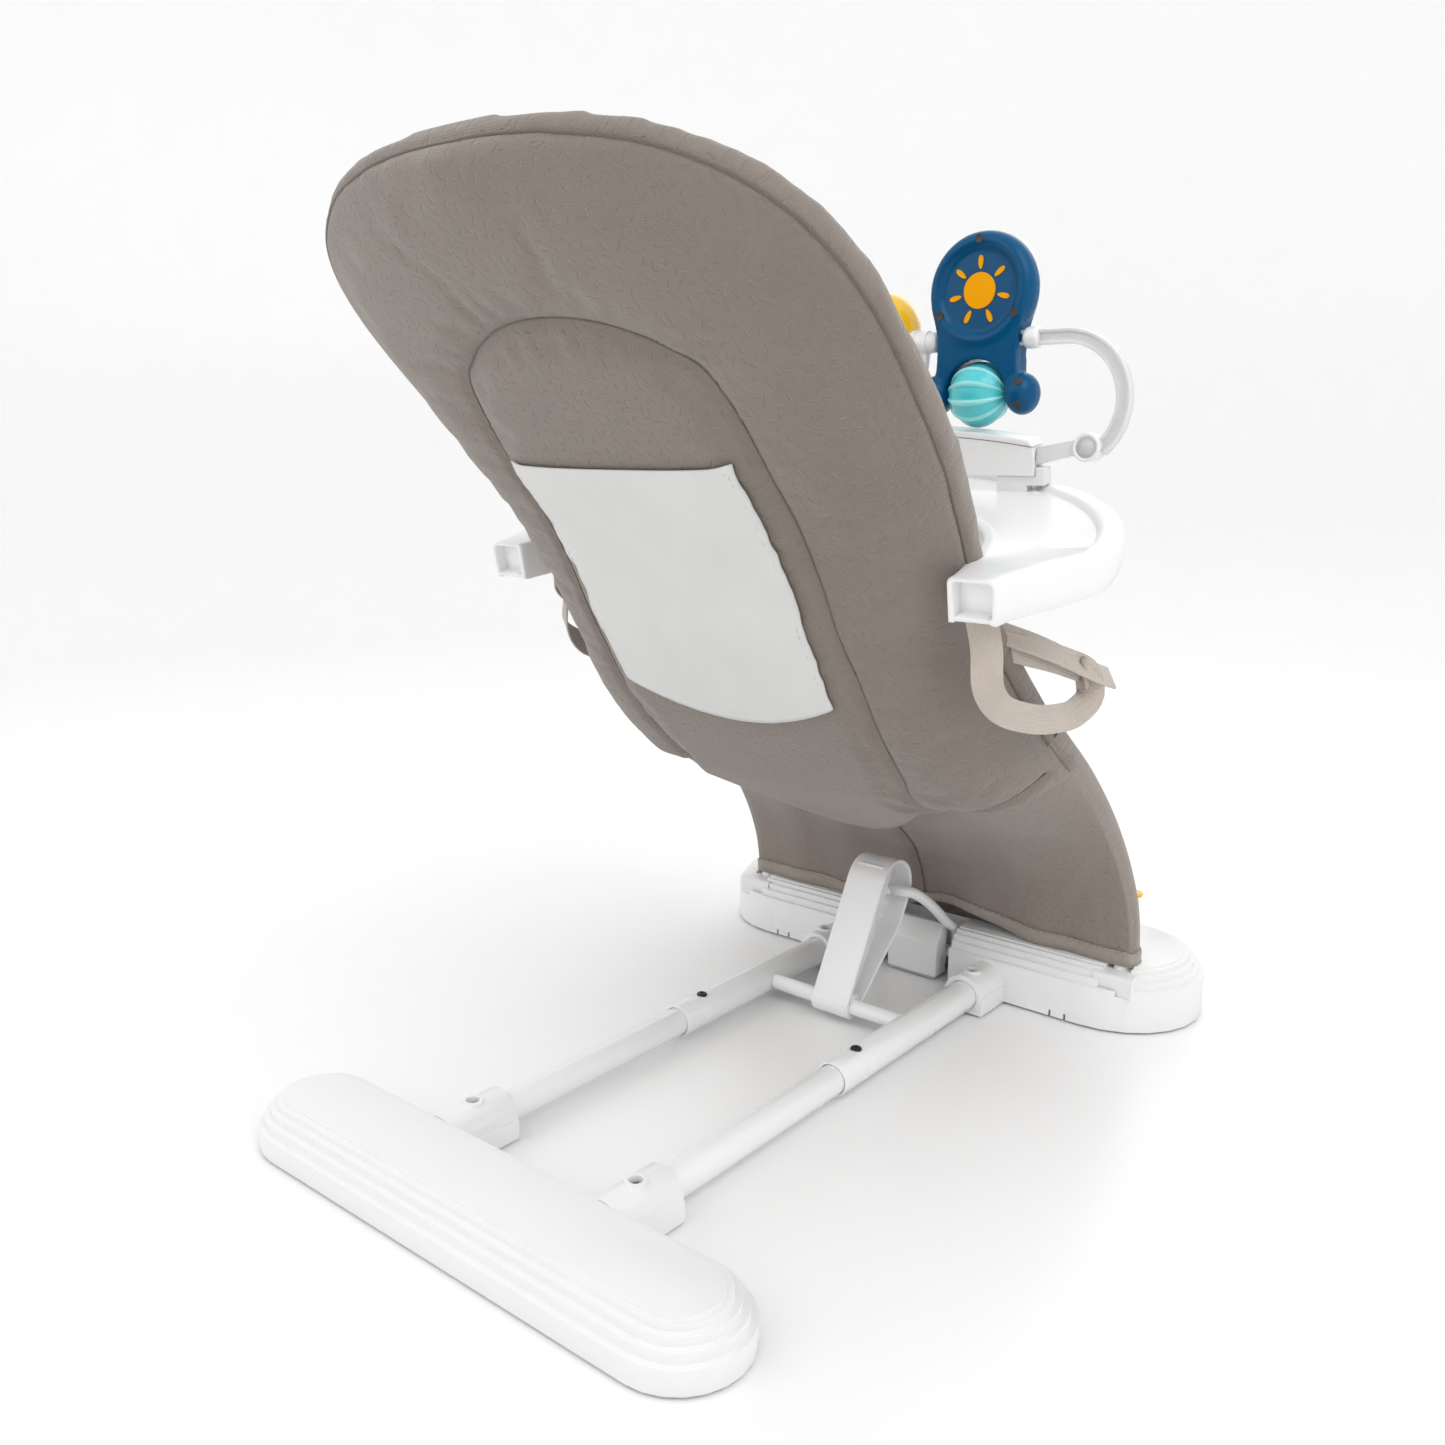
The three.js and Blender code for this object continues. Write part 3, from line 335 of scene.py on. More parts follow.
def woven(name, colour, thread=0.0009, sheen=0.35, emboss=True, depth=0.00022):
    """Brushed upholstery: a fine weave with short embossed strokes, laid out in metres by the UV map."""
    material, principled, node, link = shader(name)
    where = node("ShaderNodeUVMap", uv_map="cloth").outputs["UV"]
    tinted(node, link, principled, colour, where, 0.07, 22)
    waves = [bands(node, where, way, thread, 0.6, 1.0) for way in "XY"]
    weave = node("ShaderNodeMath", {0: waves[0], 1: waves[1]}, operation="ADD")
    bump = node("ShaderNodeBump", {"Height": weave.outputs[0], "Distance": depth, "Strength": 0.55})
    normal = bump.outputs["Normal"]
    if emboss:
        pressed = {"Height": strokes(node, where), "Distance": 0.0009, "Strength": 0.5, "Normal": normal}
        normal = node("ShaderNodeBump", pressed, invert=True).outputs["Normal"]
    link(normal, principled.inputs["Normal"])
    set_inputs(principled, {
        "Roughness": 0.62, "Sheen Weight": sheen, "Sheen Roughness": 0.4, "Sheen Tint": (1, 0.97, 0.92, 1),
    })
    return material




def strokes(node, where):
    """Short lines at random angles, one in each cell of a loose grid."""
    grid = {"Vector": where, "Scale": STROKES_PER_M, "Randomness": 0.75}
    cells = node("ShaderNodeTexVoronoi", grid, voronoi_dimensions="2D")
    flat = {0: cells.outputs["Position"], 1: (1.0, 1.0, 0.0)}
    middle = node("ShaderNodeVectorMath", flat, operation="MULTIPLY")
    from_middle = node("ShaderNodeVectorMath", {0: where, 1: middle.outputs[0]}, operation="SUBTRACT")
    in_cells = {0: from_middle.outputs[0], 1: (STROKES_PER_M, STROKES_PER_M, 0.0)}
    local = node("ShaderNodeVectorMath", in_cells, operation="MULTIPLY")
    chance = node("ShaderNodeSeparateColor", {"Color": cells.outputs["Color"]})
    angle = node("ShaderNodeMath", {0: chance.outputs["Red"], 1: 6.283}, operation="MULTIPLY")
    spin = {"Vector": local.outputs[0], "Angle": angle.outputs[0]}
    spun = node("ShaderNodeVectorRotate", spin, rotation_type="Z_AXIS")
    parts = node("ShaderNodeSeparateXYZ", {"Vector": spun.outputs[0]})
    fades = []
    for axis, full, gone in (("Y", 0.05, 0.13), ("X", 0.28, 0.36)):
        away = node("ShaderNodeMath", {0: parts.outputs[axis]}, operation="ABSOLUTE")
        fade = {"Value": away.outputs[0], "From Min": full, "From Max": gone, "To Min": 1.0, "To Max": 0.0}
        fades.append(node("ShaderNodeMapRange", fade).outputs["Result"])
    return node("ShaderNodeMath", {0: fades[0], 1: fades[1]}, operation="MULTIPLY").outputs[0]


def ribbed_web(name, colour):
    """Woven webbing: close ribs across the strap and a looser warp along it."""
    material, principled, node, link = shader(name)
    where = node("ShaderNodeUVMap", uv_map="cloth").outputs["UV"]
    tinted(node, link, principled, colour, where, 0.06, 60)
    threads = {0: bands(node, where, "Y", 0.0011, 0.4), 1: bands(node, where, "X", 0.0016, 0.2)}
    both = node("ShaderNodeMath", threads, operation="ADD")
    bump = node("ShaderNodeBump", {"Height": both.outputs[0], "Distance": 0.0003, "Strength": 0.8})
    link(bump.outputs["Normal"], principled.inputs["Normal"])
    set_inputs(principled, {"Roughness": 0.7, "Sheen Weight": 0.25})
    return material


WHITE = moulded("white_abs", linear(240, 240, 240), 0.34, 0.00006, 700, coat=0.15)
WHITE_METAL = moulded("white_enamel", linear(240, 241, 241), 0.26, 0.00005, 300, coat=0.3)
PLATE = moulded("plate_grey", linear(196, 198, 200), 0.5)
CLEAR = moulded("clear_plastic", linear(244, 245, 246), 0.2, 0.00008, 260, transmission=0.3)
STEEL = moulded("screw_steel", linear(62, 62, 64), 0.35, 0.00005, 500, metallic=0.9)
RUBBER = moulded("pad_rubber", linear(150, 151, 152), 0.7)
NYLON = moulded("bush_nylon", linear(214, 214, 210), 0.45)
DARK = moulded("dark_plastic", linear(52, 53, 55), 0.4)
BLUE = moulded("toy_blue", linear(0, 80, 124), 0.22, 0.00004, 400, shine=0.2)
TURQUOISE = moulded("toy_turquoise", linear(78, 204, 212), 0.22, 0.00005, 400, coat=0.4)
RIB_TURQUOISE = moulded("toy_rib", linear(150, 226, 226), 0.25, 0.00005, 400, coat=0.4)
ORANGE = moulded("toy_orange", linear(250, 170, 0), 0.42, 0.00004, 400, shine=0.08)
YELLOW = moulded("toy_yellow", linear(243, 190, 20), 0.2, 0.00004, 400, coat=0.5)
GREY_FACE = moulded("knob_grey", linear(205, 207, 209), 0.35)
FABRIC = woven("seat_fabric", linear(129, 119, 111))
RIM_FABRIC = woven("rim_fabric", linear(160, 150, 141))
# a darker copy of the seat fabric for the piping and seam lines: painted shade in their sewn creases
PAINTED_SHADE_FABRIC = woven("painted_shade_fabric", linear(104, 95, 85), emboss=False)
LEG_FABRIC = woven("leg_fabric", linear(140, 129, 121))
WEB = ribbed_web("webbing", linear(198, 186, 175))
SLIDE = moulded("strap_slide", linear(176, 165, 154), 0.45)
PATCH = woven("sewn_patch", linear(216, 216, 214), thread=0.0006, sheen=0.1, emboss=False, depth=0.00008)
THREAD = moulded("thread", linear(196, 187, 174), 0.6, 0.0002, 2500)

CAD_LOOK = {
    "white_plastic": WHITE, "white_metal": WHITE_METAL, "plate_plastic": PLATE, "clear_plastic": CLEAR,
    "screw_steel": STEEL, "pad_rubber": RUBBER, "bush_nylon": NYLON, "seat_fabric": FABRIC, "webbing": WEB,
    "dark_plastic": DARK, "blue_plastic": BLUE, "turquoise_plastic": TURQUOISE, "orange_plastic": ORANGE,
    "yellow_plastic": YELLOW,
}


def dress_cad_nodes():
    """Gives every CAD node the material for its slot, joins flat triangles and rounds the edges."""
    slot_of = {part["node"]: part["material_slot"] for part in frame["record"]["subparts"]}
    for name, node in frame["nodes"].items():
        node.data.materials.clear()
        node.data.materials.append(CAD_LOOK[slot_of[name]])
        smooth_faces(node)
        low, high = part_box(name)
        weld = node.modifiers.new("weld", "WELD")
        weld.merge_threshold = 0.00001
        flat = node.modifiers.new("flat", "DECIMATE")
        flat.decimate_type, flat.angle_limit = "DISSOLVE", math.radians(0.6)
        edge = node.modifiers.new("edge", "BEVEL")
        edge.width = min(0.0012, 0.12 * min(high - low))
        edge.segments, edge.limit_method, edge.angle_limit = 3, "ANGLE", math.radians(33)
        edge.harden_normals = True


dress_cad_nodes()

# ---- the seat's shape: the tube frame's half line from the front foot up to the head, in millimetres ----
FRAME_LEFT = [
    (180, -223, 33), (180, -214, 90), (178, -181, 150), (177, -124, 209), (175, -57, 262), (174, -8, 306),
    (168, 30, 355), (166, 66, 402), (168, 101, 438), (175, 139, 470), (182, 180, 506), (177, 217, 539),
    (155, 248, 566), (117, 270, 585), (61, 285, 596), (0, 289, 599),
]
# share of the half line, how far the sling hangs behind it, and how boxy its section is there
DEPTH = [(0.02, 2), (0.1, 8), (0.175, 40), (0.24, 54), (0.33, 64), (0.5, 60), (0.64, 42), (0.76, 22), (1, 12)]
BOXY = [(0.02, 2), (0.17, 2.6), (0.24, 5), (0.31, 9), (0.42, 8), (0.6, 4), (0.75, 2.4), (1, 2)]
# share of the half line, and how far outside the tube the back's edge seam runs there
WIDEN = [
    (0, 9), (0.2, 10), (0.27, 9), (0.4, 6), (0.46, 4), (0.5, 9), (0.55, 15), (0.6, 20), (0.65, 19),
    (0.7, 14), (0.8, 14), (0.85, 12), (1, 9),
]
# share of the half line, and the padding's thickness there
THICK = [(0.2, 25), (0.6, 24), (0.75, 21), (0.85, 18), (1, 17)]
SPINE_POINTS = 801
SPINE = resample(catmull(FRAME_LEFT), SPINE_POINTS)
RUN = unit(np.gradient(SPINE, axis=0))
SEAT_UP = (0, 0.8, -0.6)
SEAT_FRONT = (0, -0.78, 0.62)
EDGE_HANG = 0.5


def lookup(pairs, t):
    """Straight-line reading of a table of pairs."""
    return np.interp(t, [p[0] for p in pairs], [p[1] for p in pairs])


def frame_axes(t):
    """The frame line's point at t, the direction out of the seat's back and the direction outwards."""
    at, steps = np.asarray(t, float) * (SPINE_POINTS - 1), np.arange(SPINE_POINTS)
    point, run = (np.stack([np.interp(at, steps, a[:, k]) for k in range(3)], -1) for a in (SPINE, RUN))
    rise = unit(run[..., 1:])
    out = np.stack([np.zeros_like(at), rise[..., 1], -rise[..., 0]], -1)
    wide = unit(np.cross(out, run))
    return point, out, wide * np.where(wide[..., :1] < 0, -1, 1)


def sling(t, u, lift=0.0, bend=None):
    """A point on the back of the sling, at t along the frame and u from -1 to 1 across it.

    lift moves it to the front. bend, if given, is the share across that the hang is read at.
    """
    t, u = np.broadcast_arrays(np.asarray(t, float), np.asarray(u, float))
    point, out, wide = frame_axes(t)
    bow = 1 - np.abs(u if bend is None else bend) ** lookup(BOXY, t)
    sag = EDGE_HANG + (lookup(DEPTH, t) - EDGE_HANG) * bow - lift
    base = point + wide * lookup(WIDEN, t)[..., None]
    return np.stack([u * base[..., 0], base[..., 1], base[..., 2]], -1) + out * sag[..., None]


def bag_end(u):
    """Where the padded bag ends, as a share of the frame line, for u across it."""
    a = np.abs(u)
    s = np.clip(a / 0.7, 0, 1)
    return 0.19 + 0.11 * eased(s) - 0.04 * np.clip((a - 0.7) / 0.3, 0, 1)


# the rim's section outside the edge seam: outwards, and backwards as a share of the thickness
RIM = [(2.0, -0.12), (3.0, -0.3), (2.2, -0.5), (-0.5, -0.72), (-5.0, -0.88), (-10, -0.96)]


def cushion_grid():
    """Rows up the seat, each a closed loop: back skin, rim, front skin and the other rim."""
    rows = np.r_[0, 0.004, 0.012, 0.025, np.linspace(0.045, 0.8, 80)]
    rows = np.r_[rows, 1 - 0.2 * np.cos(np.linspace(0, np.pi / 2, 26))[1:]]
    across = np.linspace(1, -1, 49)
    grid = []
    for v in rows:
        start = bag_end(across)
        t = start + v * (1 - start)
        puff = math.sqrt(1 - (1 - min(1, v / 0.045)) ** 2)
        back = sling(t, across)
        tight = np.clip(np.abs(across) * 1.13, 0, 1)
        middle = sling(t, across, lookup(THICK, t) / 2)
        front = sling(t, across, lookup(THICK, t) * (0.98 + 0.15 * (1 - across**2)), bend=tight)
        back, front = middle + (back - middle) * puff, middle + (front - middle) * puff
        edge_t = bag_end(1.0) + v * (1 - bag_end(1.0))
        point, out, wide = frame_axes(edge_t)
        seam, thick = lookup(WIDEN, edge_t), lookup(THICK, edge_t)
        rim = np.array([
            point + wide * (seam + a) + out * thick * (0.5 + b) * max(puff, 0.2) - out * thick / 2
            for a, b in RIM
        ])
        grid.append(np.vstack([back, rim * (-1, 1, 1), front[::-1], rim[::-1]]))
    return np.array(grid)


# the seam round the back panel: share of the frame line, and millimetres from the middle
SEAM = [
    (0.758, 0), (0.756, 25), (0.748, 52), (0.731, 80), (0.708, 98), (0.663, 104), (0.6, 106), (0.514, 107),
    (0.432, 110), (0.37, 108), (0.338, 102), (0.32, 106), (0.313, 132), (0.308, 158), (0.302, 178),
]


def half_width(t):
    """Distance from the middle to the edge seam at t."""
    point, _, wide = frame_axes(t)
    return point[..., 0] + wide[..., 0] * lookup(WIDEN, t)


def seam_line(side):
    """One half of the seam that runs round the back panel."""
    line = catmull(SEAM, 12)
    return resample(sling(line[:, 0], line[:, 1] * side / half_width(line[:, 0])), 200)


def edge_line(side, low=0.27):
    """The edge seam on one side, from the bag's end to the head."""
    t = np.linspace(low, 1, 260)
    point, out, wide = frame_axes(t)
    return (point + wide * lookup(WIDEN, t)[:, None] + out * 0.3) * (side, 1, 1)


def nearest(points, line):
    """Distance from each point to the nearest point of a line."""
    best = np.full(len(points), 1e9)
    for start in range(0, len(points), 4000):
        part = points[start : start + 4000]
        gap = np.linalg.norm(part[:, None] - line[None], axis=2)
        best[start : start + 4000] = gap.min(1)
    return best


def map_cloth(obj, flat):
    """A UV map from each vertex's place on the flat cloth, in metres."""
    uv = obj.data.uv_layers.new(name="cloth")
    corner = np.empty(len(obj.data.loops), int)
    obj.data.loops.foreach_get("vertex_index", corner)
    uv.data.foreach_set("uv", flat[corner].astype(np.float32).ravel())


def cloth_uv(obj):
    """Maps the cloth across, and up along the seat's slope."""
    points = points_of(obj) * MM
    map_cloth(obj, np.stack([points[:, 0], points[:, 1] * 0.62 + points[:, 2] * 0.78], 1))


def weighted(obj, name, weights):
    """A vertex group with the given weights."""
    group = obj.vertex_groups.new(name=name)
    for index, weight in enumerate(weights):
        if weight > 0.01:
            group.add([index], float(weight), "REPLACE")


def settle(obj, pinned, cap, pressure=5.0, shrink=-0.025, frames=20):
    """A short cloth simulation that fills the piece and wrinkles it. No point moves further than cap."""
    weighted(obj, "held", pinned)
    cloth = obj.modifiers.new("cloth", "CLOTH")
    s = cloth.settings
    s.quality, s.mass, s.air_damping = 5, 0.25, 2.0
    s.tension_stiffness = s.compression_stiffness = 14
    s.shear_stiffness, s.bending_stiffness = 6, 0.4
    s.vertex_group_mass = "held"
    s.pin_stiffness = 1.0
    s.use_pressure, s.uniform_pressure_force = True, pressure
    s.shrink_min = shrink
    s.effector_weights.gravity = 0
    cloth.collision_settings.use_collision = False
    cloth.point_cache.frame_start, cloth.point_cache.frame_end = 1, frames
    before = points_of(obj)
    for number in range(1, frames + 1):
        scene.frame_set(number)
    apply_modifiers(obj)
    moved = points_of(obj) - before
    length = np.linalg.norm(moved, axis=1)[:, None]
    set_points(obj, before + moved * np.minimum(1, cap / np.maximum(length, 1e-6)))
    scene.frame_set(1)
    return obj


def remeshed(obj, voxel):
    """The object as an even mesh of the given cell size in millimetres."""
    remesh = obj.modifiers.new("remesh", "REMESH")
    remesh.mode, remesh.voxel_size = "VOXEL", voxel * MM
    return apply_modifiers(obj)


def finer(obj):
    """One round of subdivision, built in."""
    subdivide = obj.modifiers.new("finer", "SUBSURF")
    subdivide.levels = subdivide.render_levels = 1
    return apply_modifiers(obj)


def evened(obj, rounds, weights=None):
    """The surface smoothed, or only where the weights are high if they are given."""
    even = obj.modifiers.new("even", "SMOOTH")
    even.factor, even.iterations = 0.5, rounds
    if weights is not None:
        weighted(obj, "even", weights)
        even.vertex_group = "even"
    return apply_modifiers(obj)


def groove(obj, lines, depth, width, towards):
    """Draws the surface in along lines of stitching; towards gives the inward direction at each point."""
    points = points_of(obj)
    gap = np.min([nearest(points, line) for line in lines], axis=0)
    pull = depth * np.exp(-((gap / width) ** 2))
    set_points(obj, points + towards(points) * pull[:, None])


def inward(obj):
    """The reversed vertex normals as a function for groove()."""
    normal = np.empty(len(obj.data.vertices) * 3)
    obj.data.vertices.foreach_get("normal", normal)
    return lambda points: -normal.reshape(-1, 3)


CUSHION_VOXEL, CLOTH_CAP = 5.5, 5.0


def make_cushion():
    """The padded seat: back panel, rim and front in one stuffed piece."""
    obj = skin("seat_cushion", cushion_grid(), FABRIC, wrap_columns=True)
    work = bmesh.new()
    work.from_mesh(obj.data)
    bmesh.ops.remove_doubles(work, verts=work.verts, dist=0.0002)
    bmesh.ops.holes_fill(work, edges=work.edges, sides=400)
    bmesh.ops.recalc_face_normals(work, faces=work.faces)
    work.to_mesh(obj.data)
    work.free()
    evened(remeshed(obj, CUSHION_VOXEL), 4)
    seams = [seam_line(1), seam_line(-1)]
    edges = [edge_line(1), edge_line(-1)]
    points = points_of(obj)
    gap = np.min([nearest(points, s) for s in seams], axis=0)
    rim_gap = np.min([nearest(points, s) for s in edges], axis=0)
    held = np.maximum(np.clip((9 - gap) / 5, 0, 1), np.clip((22 - rim_gap) / 8, 0, 1))
    settle(obj, held, CLOTH_CAP)
    rim_gap = np.min([nearest(points_of(obj), s) for s in edges], axis=0)
    evened(obj, 14, np.clip((42 - rim_gap) / 14, 0, 1))
    finer(obj)
    groove(obj, seams, 3.2, 4.0, inward(obj))
    groove(obj, edges, 2.0, 3.0, inward(obj))
    smooth_faces(obj)
    cloth_uv(obj)
    obj.data.materials.clear()
    obj.data.materials.append(FABRIC)
    return place(obj, "seat", "seat_fabric", "seat_pad")


cushion = make_cushion()
CUSHION_TREE = BVHTree.FromObject(cushion, bpy.context.evaluated_depsgraph_get())


def on_cushion(points, offset, way=1):
    """Points moved onto the cushion's back (way 1) or front (way -1), then off it by offset."""
    points = np.asarray(points, float)
    t = np.linspace(0.1, 1, 400)
    line, out, _ = frame_axes(t)
    flat = points.reshape(-1, 3)
    index = np.array([np.argmin(((p[1:] - line[:, 1:]) ** 2).sum(1)) for p in flat])
    placed = []
    for p, direction in zip(flat, out[index] * way):
        start = Vector((p + direction * 90) * MM)
        hit, normal, _, _ = CUSHION_TREE.ray_cast(start, -Vector(direction))
        placed.append(np.array(hit + normal * offset * MM) / MM if hit else p)
    return np.array(placed).reshape(points.shape)


def sewn_line(name, path, radius, sides, up=SEAT_UP):
    """A thin line of piping or stitching on the seat, drawn darker than the seat fabric as painted shade in
    its crease.
    """
    line = sweep(name, path, circle(radius, sides), PAINTED_SHADE_FABRIC, up)
    cloth_uv(line)
    return place(line, "seat", "seat_fabric")


def stitched(name, line, radius, up=(0, 0, 1)):
    """Short stitches with gaps between them along an evenly divided line."""
    starts = range(0, len(line) - 2, 4)
    stitches = [sweep("stitch", line[i : i + 3], circle(radius, 6), THREAD, up) for i in starts]
    return place(joined(name, stitches), "seat", "seat_fabric")


def thicken(sheet, thickness, offset):
    """Gives a sheet its thickness on one side."""
    thick = sheet.modifiers.new("thick", "SOLIDIFY")
    thick.thickness, thick.offset = thickness, offset


def make_seams():
    """Piping round the seat's edge and the sunken stitch line round the back panel, both darkened as painted
    shade.
    """
    edge = resample(np.vstack([edge_line(1), edge_line(-1)[-2::-1]]), 420)
    laid = np.array([CUSHION_TREE.find_nearest(Vector(p * MM))[0] for p in edge]) / MM
    sewn_line("edge_piping", resample(running_mean(laid, 4), 420), 1.2, 10)
    seam = on_cushion(np.vstack([seam_line(1)[::-1], seam_line(-1)[1:]]), 0.0)
    sewn_line("panel_seam", running_mean(seam, 3), 0.8, 10)


PATCH_TOP, PATCH_LOW, PATCH_SAG, PATCH_HALF = 0.66, 0.436, 0.024, 90


def patch_point(a, b):
    """A point of the sewn patch: a from -1 to 1 across, b from 0 at its top to 1 at its bottom."""
    a, b = np.broadcast_arrays(np.asarray(a, float), np.asarray(b, float))
    t = PATCH_TOP + (PATCH_LOW - PATCH_TOP) * b - PATCH_SAG * b**2 * (1 - a**2)
    return sling(t, a * PATCH_HALF / half_width(t))


def make_patch():
    """The plain white patch on the back panel and its stitches."""
    a, b = np.meshgrid(np.linspace(1, -1, 61), np.linspace(0, 1, 81))
    top = on_cushion(patch_point(a, b), 2.0)
    for _ in range(12):
        inside = top[1:-1, 1:-1]
        top[1:-1, 1:-1] = (inside * 2 + top[:-2, 1:-1] + top[2:, 1:-1] + top[1:-1, :-2] + top[1:-1, 2:]) / 6
    patch = skin("back_patch", top, PATCH)
    map_cloth(patch, np.stack([a * 0.09, b * 0.19], -1).reshape(-1, 2))
    thicken(patch, 0.0009, -1)
    place(patch, "seat", "seat_fabric")
    inset = 0.955
    ring = [(x, 0.025) for x in np.linspace(inset, -inset, 60)]
    ring += [(-inset, y) for y in np.linspace(0.04, 0.96, 64)]
    ring += [(x, 0.975) for x in np.linspace(-inset, inset, 60)]
    ring += [(inset, y) for y in np.linspace(0.96, 0.04, 64)]
    stitched("patch_stitches", resample(on_cushion(patch_point(*np.array(ring).T), 2.3), 520), 0.28, SEAT_UP)


# share of the half line, and how far the leg cover's back hangs behind the frame there
COVER_HANG = [(0.02, 1), (0.1, 5), (0.19, 26), (0.24, 34), (0.4, 46)]


def cover_top(u):
    """Where the leg cover ends under the bag, as a share of the frame line, for u across it."""
    return bag_end(u) + 0.035 + 0.03 * u**8


def cover_grid():
    """The leg cover's cloth: rows from its hem up under the bag, each once round both frame legs."""
    across, share = np.linspace(1, -1, 61), np.linspace(1, -1, 31)
    wrap = [(7, -2), (9.5, -8), (9.5, -15), (6, -20), (-1, -22)]
    lowest = 50.5 + 17 * np.exp(-(((across * 180 + 25) / 48) ** 2))
    hem, top = np.interp(lowest, SPINE[:, 2], np.linspace(0, 1, SPINE_POINTS)), cover_top(across)
    low = hem[0] - 0.003
    rows = []
    for v in np.linspace(0, 1, 44):
        t = hem + v * (top - hem)
        point, out, wide = frame_axes(t)
        fold = 1.6 * np.sin(across * 19 + 1.3 * v) * (1 - across**8) * (1 - v) ** 0.5
        seam = -2.2 * np.exp(-((across * 175 / 3.0) ** 2))
        bow = 1 - np.abs(across) ** lookup(BOXY, t)
        free = np.clip(1 - np.abs(across) ** 6, 0, 1)
        sag = 1 + (lookup(COVER_HANG, t) - 1) * bow + fold * free + seam
        base = point + wide * 6.5
        back = np.stack([across * base[:, 0], base[:, 1], base[:, 2]], 1) + out * sag[:, None]
        p, o, w = frame_axes(low + v * (top[0] - low))
        rim = np.array([p + w * a + o * b for a, b in wrap])
        t = low + v * (cover_top(share) - low)
        point, out, _ = frame_axes(t)
        near_bag = eased(np.clip((v - 0.4) / 0.5, 0, 1))
        hang = lookup(COVER_HANG, t) - 8 - 9 * (1 - min(1, v / 0.35))
        on_bag = lookup(DEPTH, t) - lookup(THICK, t) * 1.13 - 2.5
        side_depth = -22 - 4 * near_bag
        bow = 1 - np.clip(np.abs(share) * 1.13, 0, 1) ** lookup(BOXY, t)
        depth = side_depth + (hang + (on_bag - hang) * near_bag - side_depth) * bow
        front = np.stack([share * (point[:, 0] - 6), point[:, 1], point[:, 2]], 1) + out * depth[:, None]
        rows.append(np.vstack([back, rim * (-1, 1, 1), front[::-1], rim[::-1]]))
    return np.array(rows)


def make_leg_cover():
    """The cloth from the bag down to the foot, with its hem band and middle seam."""
    grid = cover_grid()
    cover = skin("leg_cover", grid, LEG_FABRIC, wrap_columns=True)
    cloth_uv(cover)
    place(cover, "seat", "seat_fabric", "leg_panel")
    hem = skin("hem_band", grid[0:3], RIM_FABRIC, wrap_columns=True)
    cloth_uv(hem)
    thicken(hem, 0.0016, 1)
    place(hem, "seat", "seat_fabric")
    line = grid[2, :61] + frame_axes(0.04)[1] * 1.9
    hem_thread = stitched("hem_stitches", resample(line, 300), 0.3)
    middle = grid[1:40, 30] + frame_axes(0.1)[1] * 0.6
    # the middle seam is drawn darker than the cover as painted shade in its crease
    seam = sewn_line("cover_seam", resample(middle, 60), 0.7, 8, (1, 0, 0))


def strap(name, path, width, up, body, nodes=(), thickness=1.5):
    """A flat webbing strap along a path. up is the direction its broad face looks."""
    path = resample(catmull(path, 10), max(24, 8 * len(path)))
    section = rounded_box(width, thickness, thickness * 0.45, 3)
    obj = sweep(name, path, section, WEB, up)
    run = np.r_[0, np.cumsum(np.linalg.norm(np.diff(path, axis=0), axis=1))]
    along, across = np.divmod(np.arange(len(obj.data.vertices)), len(section))
    map_cloth(obj, np.stack([section[across, 0], run[along]], 1) * MM)
    return place(obj, body, "webbing", *nodes)


WAIST_LOOP = [
    (184, 60, 374), (189, 62, 360), (194, 63, 342), (196, 63, 320), (197, 50, 306), (198, 12, 293),
    (198, -32, 286), (198, -60, 286), (199, -79, 295), (198, -74, 310), (194, -50, 320), (182, -12, 331),
    (166, 12, 338),
]
WAIST_TAB = [(168, 6, 345), (188, -22, 333), (198, -60, 318), (202, -84, 309), (203, -102, 304)]


def make_waist_straps():
    """The waist straps that loop out under the tray's arms, each back through a slide to a sewn tab."""
    inner = [(x - 9, y - 8, z) for x, y, z in WAIST_LOOP[:2]]
    inner += [(min(x, 188) - 2, y - 26, z) for x, y, z in WAIST_LOOP[2:]]
    for name, side in SIDES.items():
        # the left loop hangs further in and forward than the right one
        loop = np.array(inner if side > 0 else WAIST_LOOP, float) * (side, 1, 1)
        strap(f"waist_strap_loop_{name}", loop, 19, (side * 0.55, 0.8, 0.2), "seat", [f"waist_strap_{name}"])
        tab = np.array(WAIST_TAB, float) * (side, 1, 1)
        strap(f"waist_tab_{name}", tab, 17, (side * 0.7, 0.4, 0.6), "seat", thickness=2.2)
        bar = resample([(side * 200, -70, 301), (side * 200, -62, 322)], 8)
        slide = sweep(f"waist_slide_{name}", bar, rounded_box(6, 3.4, 1.4), SLIDE, (side, 0, 0))
        place(slide, "seat", "webbing")


make_seams()
make_patch()
make_leg_cover()
make_waist_straps()


HOOP_RADIUS, LEG_RADIUS = 3.8, 7


def make_frame_tube():
    """The bent tube inside the seat's edge, and its legs down to the front foot."""
    t = np.linspace(0.17, 1.0, 240)
    point, out, wide = frame_axes(t)
    deep = lookup(THICK, t) * 0.45 - lookup([(0.86, 0), (0.93, 5), (1, 11)], t)
    aside = lookup(WIDEN, t) - lookup([(0.86, 15), (1, 12)], t)
    half = point - out * deep[:, None] + wide * aside[:, None]
    whole = np.vstack([half, (half * (-1, 1, 1))[-2::-1]])
    obj = tube("hoop_tube", whole, HOOP_RADIUS, WHITE_METAL, up=SEAT_UP)
    place(obj, "seat", "white_metal", "frame_hoop")
    for name, side in SIDES.items():
        t = np.linspace(0, 0.17, 60)
        point, out, wide = frame_axes(t)
        shift = np.clip(t / 0.03, 0, 1)[:, None]
        half = (point - out * 10 * shift) * (side, 1, 1)
        obj = tube(f"leg_tube_{name}", half, LEG_RADIUS, WHITE_METAL, up=(1, 0, 0))
        place(obj, "seat", "white_metal", f"frame_leg_{name}")


make_frame_tube()


